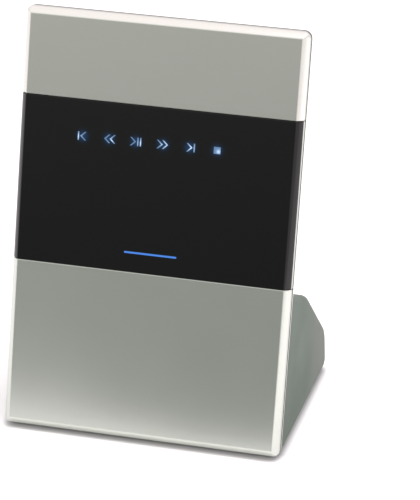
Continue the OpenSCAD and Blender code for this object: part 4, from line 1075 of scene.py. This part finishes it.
def cutShadowGap():  # a step round the frame's front edge, wider to the eye than the bare joint; the step and the frame's front are painted charcoal as painted shade
    width, height, inset = slab["width"], slab["height"], shadowGap["inset"]
    low, high = shadowGap["from"], shadowGap["to"]
    outside = shifted(roundedLoop(width + 4, height + 4, 5), 0, height / 2)
    inside = shifted(roundedLoop(width - 2 * inset, height - 2 * inset, shadowGap["corner"]), 0, height / 2)
    step = prismObject("step", (outside, onFascia, low, high))
    carve(step, prismObject("middle", (inside, onFascia, low - 1, high + 1)))
    rearFrame = bpy.data.objects["bezelFrame"]
    carve(rearFrame, step)
    shade(rearFrame)
    # painted shade: every face of the frame in front of the step's back turns charcoal, so the joint reads
    # dark
    paintWhere(rearFrame, finishes["charcoalAbsAndShade"], lambda middle: depthBehindFace(middle) < high + 0.02)


cutShadowGap()
print("shadow gap cut")

# screws: one turned and recessed screw on every place that the CAD gives
screwLook = {  # mm
    "headRadius": 2.6,
    "shankRadius": 1.4,
    "thread": 0.8,
    "threadDepth": 0.22,
    "crown": 0.5,  # height of the head's dome, at most
    "dome": ((0.66, 0.0), (0.86, 0.3), (0.97, 0.75), (1.0, 1.3)),  # shares of the radius and of the crown
    "recess": 1.35,
    "recessWidth": 0.36,
    "seed": 7,
}
screwKinds = {  # node: (piece, way the head faces, head height in mm, recess depth in mm)
    "panel_screws": ("panelScrews", rearward, 1.5, 0.8),
    "foot_screws": ("footScrews", -rearward, 1.5, 0.8),
    "board_screws": ("boardScrews", rearward, 1.5, 0.8),
    "cover_screws": ("coverScrews", rearward, 1.5, 0.8),
    "fan_screws": ("fanScrews", slopeOut, 1.5, 0.8),
    "base_screws": ("baseScrews", Vector((0, 0, -1)), 0.5, 0.3),
    "door_screws": ("doorScrews", Vector((1, 0, 0)), 1.5, 0.8),
    "drive_screws": ("driveScrews", Vector((0, 0, -1)), 0.7, 0.35),
}


def looseParts(node):  # the corner points of each separate solid of a CAD node
    form = cadForm(node)
    left, parts = dict.fromkeys(form.verts), []  # in the mesh's own order, so that each run is the same
    while left:
        waiting, found = [left.popitem()[0]], []
        while waiting:
            point = waiting.pop()
            found.append(point.co.copy())
            for edge in point.link_edges:
                other = edge.other_vert(point)
                if other in left:
                    del left[other]
                    waiting.append(other)
        parts.append(found)
    form.free()
    return parts


def screwPlaces(node, way):  # (where the head's top is, length) of each screw
    places = []
    for points in looseParts(node):
        flat = [p - way * p.dot(way) for p in points]
        middle = Vector([(min(p[i] for p in flat) + max(p[i] for p in flat)) / 2 for i in range(3)])
        along = [p.dot(way) for p in points]
        places.append((middle + way * max(along), max(along) - min(along)))
    return places


def screwForm(headHeight, length, deep):
    head, shank, thread = screwLook["headRadius"], screwLook["shankRadius"], screwLook["thread"]
    crown = min(screwLook["crown"], headHeight * 0.4)
    outline = [(0, 0)] + [(head * out, -crown * down) for out, down in screwLook["dome"]]
    outline += [(head, -headHeight + 0.08), (head - 0.08, -headHeight), (shank, -headHeight)]
    z = -headHeight - 0.3
    while z - thread > -length + 0.8:
        outline += [(shank, z), (shank - screwLook["threadDepth"], z - thread * 0.45)]
        z -= thread
    outline += [(shank, z), (shank * 0.6, -length), (0, -length)]
    screw = revolved("screw", outline)
    long, half = screwLook["recess"], screwLook["recessWidth"]
    arm, cross = [(long, -half), (long, half), (half, half)], []
    for _ in range(4):
        cross += arm
        arm = [(-v, u) for u, v in arm]
    carve(screw, prismObject("recess", (cross, upright, -deep, 0.4)))
    return screw


def makeScrews():
    for node, (name, way, headHeight, deep) in screwKinds.items():
        places = screwPlaces(node, way)
        spots = bpy.data.meshes.new("spots")
        spots.from_pydata([place for place, _ in places], [], [])
        for item in spots.attributes.new("turn", "FLOAT_VECTOR", "POINT").data:
            item.vector = way.to_track_quat("Z", "Y").to_euler()
        mesh = patternMesh(placed, {
            "Places": linked("spots", spots), "Seed": screwLook["seed"], "Finish": finishes["platedScrew"],
            "Part": screwForm(headHeight, places[0][1] / mm, deep)})
        smoothEdges(mesh, 40)
        addPiece(name, mesh, None, node)


makeScrews()
print("screws made:", len(screwKinds), "kinds")

coverForm = {  # mm: a smooth tub with two rows of vents
    "width": 169.8,
    "height": 154.0,
    "middle": 187.0,
    "front": 10.8,
    "depth": 18.7,
    "corner": 7.0,
    "edge": 4.0,
    "taper": 2.0,
    "wall": 2.4,
    "edgeSteps": 8,
    "ventWidth": 2.2,
    "ventLength": 24.0,
    "ventCorner": 1.09,
    "ventPitch": 5.6,
    "ventCount": 25,
    "ventRows": (209.0, 238.0),
    "back": 29.5,
    "opening": (146.0, 27.0, 2.5),  # round the connector plate: width, height, corner radius
    "screws": ((-74.5, 74.5), (162.0, 252.0)),  # across, up
    "post": (3.4, 10.8, 28.0),  # radius, from, to
    "hole": (1.4, 9, 27.6),
    "headSeat": (2.8, 27.4, 32),
}


def coverPlace(u, v, w):
    return onFascia(u, coverForm["middle"] + v, coverForm["front"] + w)


def coverSolid(name, inset):
    look = coverForm
    soft, straight = look["edge"] - inset, look["depth"] - look["edge"]
    layers = [(inset, -1.0 if inset else 0.0)]
    for i in range(look["edgeSteps"] + 1):
        a = math.radians(90 * i / look["edgeSteps"])
        layers.append((inset + look["taper"] + soft * (1 - math.cos(a)), straight + soft * math.sin(a)))
    form = bmesh.new()
    rings = []
    for side, high in layers:
        loop = roundedLoop(look["width"] - 2 * side, look["height"] - 2 * side, look["corner"] - inset, 10)
        rings.append([form.verts.new(coverPlace(u, v, high)) for u, v in loop])
    stacked(form, rings)
    bmesh.ops.recalc_face_normals(form, faces=form.faces)
    return asObject(form, name)


def coverVents():
    look = coverForm
    low, high = look["ventRows"]
    slot = prismObject("slot", (roundedLoop(look["ventWidth"], look["ventLength"], look["ventCorner"]),
                                upright, -6, 6))
    first = onRear((look["ventCount"] - 1) / 2 * look["ventPitch"], low, look["back"])
    return linked("vents", patternMesh(rows, {
        "Columns": look["ventCount"], "Column Step": (look["ventPitch"] * mm, 0, 0),
        "Rows": 2, "Row Step": (0, (high - low) * mm, 0), "Part": slot}, first))


def rearCover():
    look = coverForm
    cover = coverSolid("rearCover", 0.0)
    carve(cover, coverSolid("inner", look["wall"]))
    for post in screwColumns(look["screws"], look["post"], onFascia):
        carve(cover, prismObject("post", post), "UNION")
    carve(cover, coverVents())
    cuts = [(shifted(roundedLoop(*look["opening"]), 0, socketRowUp), onFascia, 24, 32)]
    cuts += screwColumns(look["screws"], look["hole"], onFascia)
    radius, low, high = look["headSeat"]
    cuts += [(circleLoop(radius, x, up, 28), onFascia, low, high)
             for x in look["screws"][0] for up in look["screws"][1]]
    carve(cover, prismObject("cuts", *cuts))
    shadedPiece("rearCover", opened(cover), finishes["coverLacquer"], "rear_cover", 30)


rearCover()
print("rear cover made")

doorForm = {  # mm: the foot's own surface within the mouth, with the handle's pocket
    "gap": 0.4,
    "thick": 8.5,
    "pocket": (31.1, 119.1, 17.45, 14.0),  # from, to, middle, height
    "pocketDepth": 5.8,
    "pocketCorner": 1.0,
    "pin": (-88.4, 116.1),
    "bore": (1.0, 10.5),  # radius, half length
    "edge": 0.3,
}


def trayDoor():
    look, sideX = doorForm, footForm["width"] / 2
    door = asObject(footSolid(0.0), "trayDoor")
    block = (mouthLoop(look["gap"], 8), acrossFoot, -sideX - 1, -sideX + look["thick"])
    carve(door, prismObject("mouth", block), "INTERSECT")
    start, end, middle, tall = look["pocket"]
    pocket = shifted(roundedLoop(end - start, tall, look["pocketCorner"], 4), (start + end) / 2, middle)
    carve(door, prismObject("pocket", (pocket, acrossFoot, -sideX - 3, -sideX + look["pocketDepth"])))
    radius, half = look["bore"]
    bore = (circleLoop(radius, *look["pin"]), inFoot, middle - half, middle + half)
    carve(door, prismObject("bore", bore))
    form = opened(door)
    joinFlats(form, 0.3)
    bevelLong(form, look["edge"], shortest=0.2)
    shadedPiece("trayDoor", form, finishes["footLacquerAndSheen"], "tray_door", 30)


trayDoor()
print("tray door made")

finForm = {  # mm
    "across": 9,
    "along": 5,
    "base": 2.0,
    "side": 38.0,
    "baseCorner": 0.8,
    "thick": 0.9,
    "gap": 1.6,
    "corner": 0.3,
    "tip": 0.4,
    "tipShare": 0.6,  # how thick the tip is beside the fin
    "tipCorner": 0.2,
}


def reach(node, way):  # how far a CAD node reaches along a direction, in metres
    along = [point.co.dot(way) for point in nodes[node].data.vertices]
    return min(along), max(along)


def heatSink():
    near, far = reach("heat_sink", rearward)
    low, high = reach("heat_sink", upFace)
    side, thick, baseHigh = finForm["side"], finForm["thick"], finForm["base"]
    long = (side - (finForm["along"] - 1) * finForm["gap"]) / finForm["along"]
    tall = (far - near) / mm - baseHigh
    top, corner = tall - finForm["tip"], finForm["corner"]
    blade = roundedLoop(thick, long, corner, 3)
    tip = roundedLoop(thick * finForm["tipShare"], long - corner, finForm["tipCorner"], 3)
    fin = prismObject("fin", (blade, upright, -0.2, top), (tip, upright, top - 0.01, tall))
    block = roundedLoop(side, side, finForm["baseCorner"], 4)
    base = prismObject("base", (block, upright, -baseHigh, 0))
    edge = onFascia(0, 0, 0)
    place = onRear(0, ((low + high) / 2 - edge.dot(upFace)) / mm, (near - edge.dot(rearward)) / mm + baseHigh)
    first = Matrix.Translation((-(side - thick) / 2 * mm, -(side - long) / 2 * mm, 0))
    fins = patternMesh(rows, {
        "Columns": finForm["across"], "Column Step": ((side - thick) / (finForm["across"] - 1) * mm, 0, 0),
        "Rows": finForm["along"], "Row Step": (0, (long + finForm["gap"]) * mm, 0),
        "Part": fin, "Finish": finishes["blackAnodised"]}, place @ first)
    base.data.transform(place)
    base.data.materials.append(finishes["blackAnodised"])
    mesh = joined("heatSink", fins, base.data)
    bpy.data.objects.remove(base)
    smoothEdges(mesh, 40)
    addPiece("heatSink", mesh, None, "heat_sink")


heatSink()
print("heat sink made")

rotorForm = {  # mm and degrees
    "hub": 8.0,
    "tip": 17.9,
    "low": 2.0,
    "high": 9.2,
    "blades": 7,
    "thick": 0.9,
    "rootPitch": 50.0,
    "tipPitch": 36.0,
    "sweep": 2.4,
    "bow": 0.5,
    "root": 0.5,  # how far a blade reaches into the hub
    "steps": 8,
    "shaft": 1.0,
    "backset": 12.5,
}


def fanBlade():  # a twisted blade whose front edge sweeps back towards the tip
    look, steps = rotorForm, rotorForm["steps"]
    middle, half = (look["low"] + look["high"]) / 2, (look["high"] - look["low"]) / 2 - 0.5
    form = bmesh.new()
    sections = []
    for i in range(steps + 1):
        share = i / steps
        radius = look["hub"] - look["root"] + (look["tip"] - 0.15 - look["hub"] + look["root"]) * share
        pitch = math.radians(look["rootPitch"] + (look["tipPitch"] - look["rootPitch"]) * share)
        shift = -look["sweep"] * share ** 2
        spine = []
        for j in range(steps + 1):
            along = 2 * j / steps - 1
            bow = look["bow"] * (1 - along * along)
            spine.append((half * along / math.tan(pitch) + shift + bow, half * along))
        ring = []
        for side in (1, -1):
            for y, z in spine[::side]:
                edge = look["thick"] / 2 * math.sqrt(max(0.05, 1 - (z / half) ** 4))
                y, z = y + side * edge * math.sin(pitch), z - side * edge * math.cos(pitch)
                out = math.sqrt(max(0.0, radius * radius - y * y))
                z = max(look["low"] + 0.2 - middle, min(look["high"] - 0.2 - middle, z))
                ring.append(form.verts.new(upright(out, y, middle + z)))
        sections.append(ring)
    stacked(form, sections)
    bmesh.ops.recalc_face_normals(form, faces=form.faces)
    return asObject(form, "blade")


def fanRotor():
    look = rotorForm
    origin = onSlope(0, backSlope["fanUp"], -look["backset"])
    down = Vector((0, math.cos(slopeAngle), -math.sin(slopeAngle)))
    place = Matrix.Translation(origin) @ Matrix(((1, 0, 0), down, slopeOut)).transposed().to_4x4()
    blades = patternMesh(ring, {"Count": look["blades"], "Part": fanBlade(),
                                "Finish": finishes["mouldedBlack"]}, place)
    hub, low, high, shaft = look["hub"], look["low"], look["high"], look["shaft"]
    cup = revolved("hub", [(0, high), (hub - 2.2, high), (hub - 2.0, high - 0.25), (hub - 1.4, high - 0.25),
                           (hub - 0.8, high), (hub - 0.25, high - 0.1), (hub, high - 0.6), (hub, low),
                           (hub - 1, low), (hub - 1, high - 1), (shaft, high - 1), (shaft, 0.6),
                           (shaft * 0.7, 0.4), (0, 0.4)], 48)
    cup.data.transform(place)
    cup.data.materials.append(finishes["mouldedBlack"])
    mesh = joined("fanRotor", blades, cup.data)
    bpy.data.objects.remove(cup)
    smoothEdges(mesh, 40)
    addPiece("fanRotor", mesh, None, "fan_rotor")


fanRotor()
print("fan made")

contactForm = {  # mm
    "mouth": 28.1,  # behind the fascia's face
    "sockets": {  # middle across, outline in Y and Z, width, count, step, rows, step of the rows
        "network": (28.5, ((3.6, -9.6), (3.9, -9.6), (2.0, -4.2), (1.6, -4.0), (1.6, -4.3)),
                    0.5, 8, 1.02, 1, 0.0),
        "serial": (9.5, ((0.24, -8.6), (0.31, -8.6), (0.31, -2.2), (0.24, -1.9)), 1.0, 4, 2.3, 2, 7.6),
        "video": (-8.0, ((0.49, -7.6), (0.56, -7.6), (0.56, -2.2), (0.49, -2.0)), 0.45, 10, 1.0, 1, 0.0),
    },
}


def socketContacts():
    made = []
    for across, outline, width, count, step, rowCount, rowStep in contactForm["sockets"].values():
        contact = prismObject("contact", (outline, edgeways, -width / 2, width / 2))
        first = onRear(across + (count - 1) * step / 2, socketRowUp - (rowCount - 1) * rowStep / 2,
                       contactForm["mouth"])
        made.append(patternMesh(rows, {
            "Columns": count, "Column Step": (step * mm, 0, 0),
            "Rows": rowCount, "Row Step": (0, rowStep * mm, 0),
            "Part": contact, "Finish": finishes["goldFlash"]}, first))
    addPiece("socketContacts", joined("socketContacts", *made), None)


chipForm = {  # mm
    "fields": ((-62, 62, 150, 176), (-62, 62, 220, 239)),  # left, right, low, high
    "spacing": 3.3,
    "wide": 1.0,
    "parts": {  # what each finish covers, as (middle, length, height)
        "chipCeramic": ((0, 1.3, 0.5),),
        "solderEnd": ((-0.85, 0.4, 0.54), (0.85, 0.4, 0.54)),
    },
    "seed": 11,
}


def boardParts():
    depth = (reach("main_board", rearward)[1] - onFascia(0, 0, 0).dot(rearward)) / mm
    meshes = []
    for look, blocks in chipForm["parts"].items():
        prisms = [(shifted(roundedLoop(long, chipForm["wide"], 0.08, 2), x, 0), upright, 0, high)
                  for x, long, high in blocks]
        field = bmesh.new()
        for sides in chipForm["fields"]:
            field.faces.new([field.verts.new(upright(x, y, 0)) for x, y in boxLoop(*sides)])
        meshes.append(patternMesh(strewn, {
            "Field": asObject(field, "field"), "Spacing": chipForm["spacing"] * mm, "Seed": chipForm["seed"],
            "Part": prismObject("part", *prisms), "Finish": finishes[look]}, onRear(0, 0, depth)))
    addPiece("boardParts", joined("boardParts", *meshes), None)


gripForm = {"grooves": 7, "step": 2.0, "from": 50.0, "up": 17.45, "radius": 0.5, "half": 5.0}  # mm


def gripGrooves():
    handle, look = bpy.data.objects["trayHandle"], gripForm
    rod = prismObject("groove", (circleLoop(look["radius"], 0, 0, 12), upright, -look["half"], look["half"]))
    first = inFoot(-footForm["width"] / 2 - 0.1, look["from"], look["up"])
    carve(handle, linked("grooves", patternMesh(rows, {
        "Columns": look["grooves"], "Column Step": (0, look["step"] * mm, 0),
        "Rows": 1, "Row Step": (0, 0, 0), "Part": rod}, Matrix.Translation(first))))
    shade(handle)


socketContacts()
boardParts()
gripGrooves()
print("contacts, board parts and grip made")

paperLook = {
    "colour": "#f4f4f4",
    "glow": 0.32,  # what the eye sees of the paper beside the light that falls on it
    "glowInGloss": (0.14, 0.31),  # the same for reflections, at the left and at the window side
    "glossAcross": (-0.15, 0.6),  # metres between which it rises
    "glossTint": "#fffafc",
    "contact": 0.005,  # metres round whatever stands on the paper that stay in its shadow
    "contactTone": 0.45,  # how much of the light the paper gives back in the middle of that shadow
    "front": ((-3.0, -1.3), (-0.3, -0.46), (0.0, -0.205), (3.0, -0.18)),  # the sheet's front edge, metres
    "back": ((3.0, 3.0), (-3.0, 3.0)),
}


def layPaper():
    look = paperLook
    corners = [(x, y, 0) for x, y in look["front"] + look["back"]]
    mesh = bpy.data.meshes.new("floor")
    mesh.from_pydata(corners, [], [tuple(range(len(corners)))])
    paper = bpy.data.materials.new("white paper sweep")
    paper.use_nodes = True
    mesh.materials.append(paper)
    tree, shader = shaderOf(paper)
    path = addNode(tree, "ShaderNodeLightPath").outputs
    seen = path["Is Camera Ray"]
    mirrored = addNode(tree, "ShaderNodeMath", (
        path["Is Glossy Ray"], path["Is Transmission Ray"]), 0, operation="MAXIMUM")
    near = addNode(tree, "ShaderNodeAmbientOcclusion", {"Distance": look["contact"]}, "AO")
    unseen = addNode(tree, "ShaderNodeMath", (1.0, seen), 0, operation="SUBTRACT")
    openness = addNode(tree, "ShaderNodeMath", (near, unseen), 0, operation="MAXIMUM")
    glow = addNode(tree, "ShaderNodeMapRange", (seen, 0.0, 1.0, 0.0, look["glow"]), "Result")
    direct = addNode(tree, "ShaderNodeMath", (glow, openness), 0, operation="MULTIPLY")
    tone = addNode(tree, "ShaderNodeMapRange", (openness, 0.5, 1.0, look["contactTone"], 1.0), "Result")
    place = addNode(tree, "ShaderNodeTexCoord", output="Object")
    across = addNode(tree, "ShaderNodeSeparateXYZ", {"Vector": place}, "X")
    inGloss = addNode(tree, "ShaderNodeMapRange", (
        across, *look["glossAcross"], *look["glowInGloss"]), "Result")
    setInputs(tree, shader, {
        "Base Color": addNode(tree, "ShaderNodeMix", {
            "Factor": tone, "A": (0, 0, 0, 1), "B": linear(look["colour"])}, "Result", data_type="RGBA"),
        "Roughness": 0.9,
        "Specular IOR Level": 0.0,
        "Emission Color": linear(look["glossTint"]),
        "Emission Strength": addNode(tree, "ShaderNodeMapRange", (
            mirrored, 0.0, 1.0, direct, inGloss), "Result"),
    })
    floor = linked("floor", mesh)


roomLook = {  # white at the sides, behind and above, and dim in front of the player
    "front": (-0.2, -0.98, 0.0),
    "frontEdge": (0.97, 0.5),  # cosines from that direction, between which the dim part ends
    "frontLight": (0.3, 0.75),  # level with the player, and above
    "frontUp": (0.0, 0.4),  # height of the direction between which it rises
    "frontFall": (1.03, 0.9),  # the front light weakens from left to right
    "frontAcross": (-0.31, -0.16),
    "frontTint": "#fbfffa",
    "sideLight": (0.93, 1.09),  # level with the player, and straight above
    "sideUp": (0.2, 0.9),
    "sideTint": "#fff8fb",
}


def lightRoom():
    look = roomLook
    world = bpy.data.worlds.new("studio")
    bpy.context.scene.world = world
    world.use_nodes = True
    tree = world.node_tree
    tree.nodes.clear()
    direction = addNode(tree, "ShaderNodeTexCoord", output="Generated")
    facing = addNode(tree, "ShaderNodeVectorMath", (direction, look["front"]), "Value",
                     operation="DOT_PRODUCT")
    away = addNode(tree, "ShaderNodeMapRange", (facing, *look["frontEdge"], 0.0, 1.0), "Result",
                   interpolation_type="SMOOTHSTEP")
    parts = addNode(tree, "ShaderNodeSeparateXYZ", {"Vector": direction}).outputs
    rise = addNode(tree, "ShaderNodeMapRange", (parts["Z"], *look["frontUp"], *look["frontLight"]), "Result")
    fall = addNode(tree, "ShaderNodeMapRange", (
        parts["X"], *look["frontAcross"], *look["frontFall"]), "Result")
    front = addNode(tree, "ShaderNodeMath", (rise, fall), 0, operation="MULTIPLY")
    side = addNode(tree, "ShaderNodeMapRange", (parts["Z"], *look["sideUp"], *look["sideLight"]), "Result")
    room = addNode(tree, "ShaderNodeBackground", {
        "Color": addNode(tree, "ShaderNodeMix", {
            "Factor": away, "A": linear(look["frontTint"]), "B": linear(look["sideTint"]),
        }, "Result", data_type="RGBA"),
        "Strength": addNode(tree, "ShaderNodeMapRange", (away, 0.0, 1.0, front, side), "Result"),
    }, 0)
    white = addNode(tree, "ShaderNodeBackground", {"Color": (1, 1, 1, 1), "Strength": 1.0}, 0)
    seen = addNode(tree, "ShaderNodeLightPath", output="Is Camera Ray")
    mixed = addNode(tree, "ShaderNodeMixShader", (seen, room, white), 0)
    addNode(tree, "ShaderNodeOutputWorld", {"Surface": mixed})


softbox = {"place": (0.45, 0.0, 1.5), "aim": (0, 0, 0.1), "size": 0.9, "energy": 7}  # metres, watts


def hangSoftbox():
    lamp = linked("topSoftbox", bpy.data.lights.new("topSoftbox", "AREA"))
    lamp.data.size = softbox["size"]
    lamp.data.energy = softbox["energy"]
    lamp.location = softbox["place"]
    lamp.rotation_euler = (Vector(softbox["aim"]) - lamp.location).to_track_quat("-Z", "Y").to_euler()


shot = {
    "across": (0.9681, 0.2504, 0.0136),  # the way the picture's width runs
    "back": (0.2236, -0.8865, 0.4052),  # from the player to the camera
    "place": (0.4121, -1.5267, 0.8062),  # metres
    "lens": 193.45,
    "sensor": 36,
    "clip": (0.05, 20),
}


def aimCamera():
    back = Vector(shot["back"]).normalized()
    up = back.cross(Vector(shot["across"])).normalized()
    camera = linked("camera", bpy.data.cameras.new("camera"))
    camera.data.sensor_width = shot["sensor"]
    camera.data.lens = shot["lens"]
    camera.data.clip_start, camera.data.clip_end = shot["clip"]
    turn = Matrix((up.cross(back), up, back)).transposed()
    camera.matrix_world = Matrix.Translation(shot["place"]) @ turn.to_4x4()
    bpy.context.scene.camera = camera


layPaper()
lightRoom()
hangSoftbox()
aimCamera()
print("stage, light and camera set")

bpy.context.scene.view_settings.view_transform = "Standard"
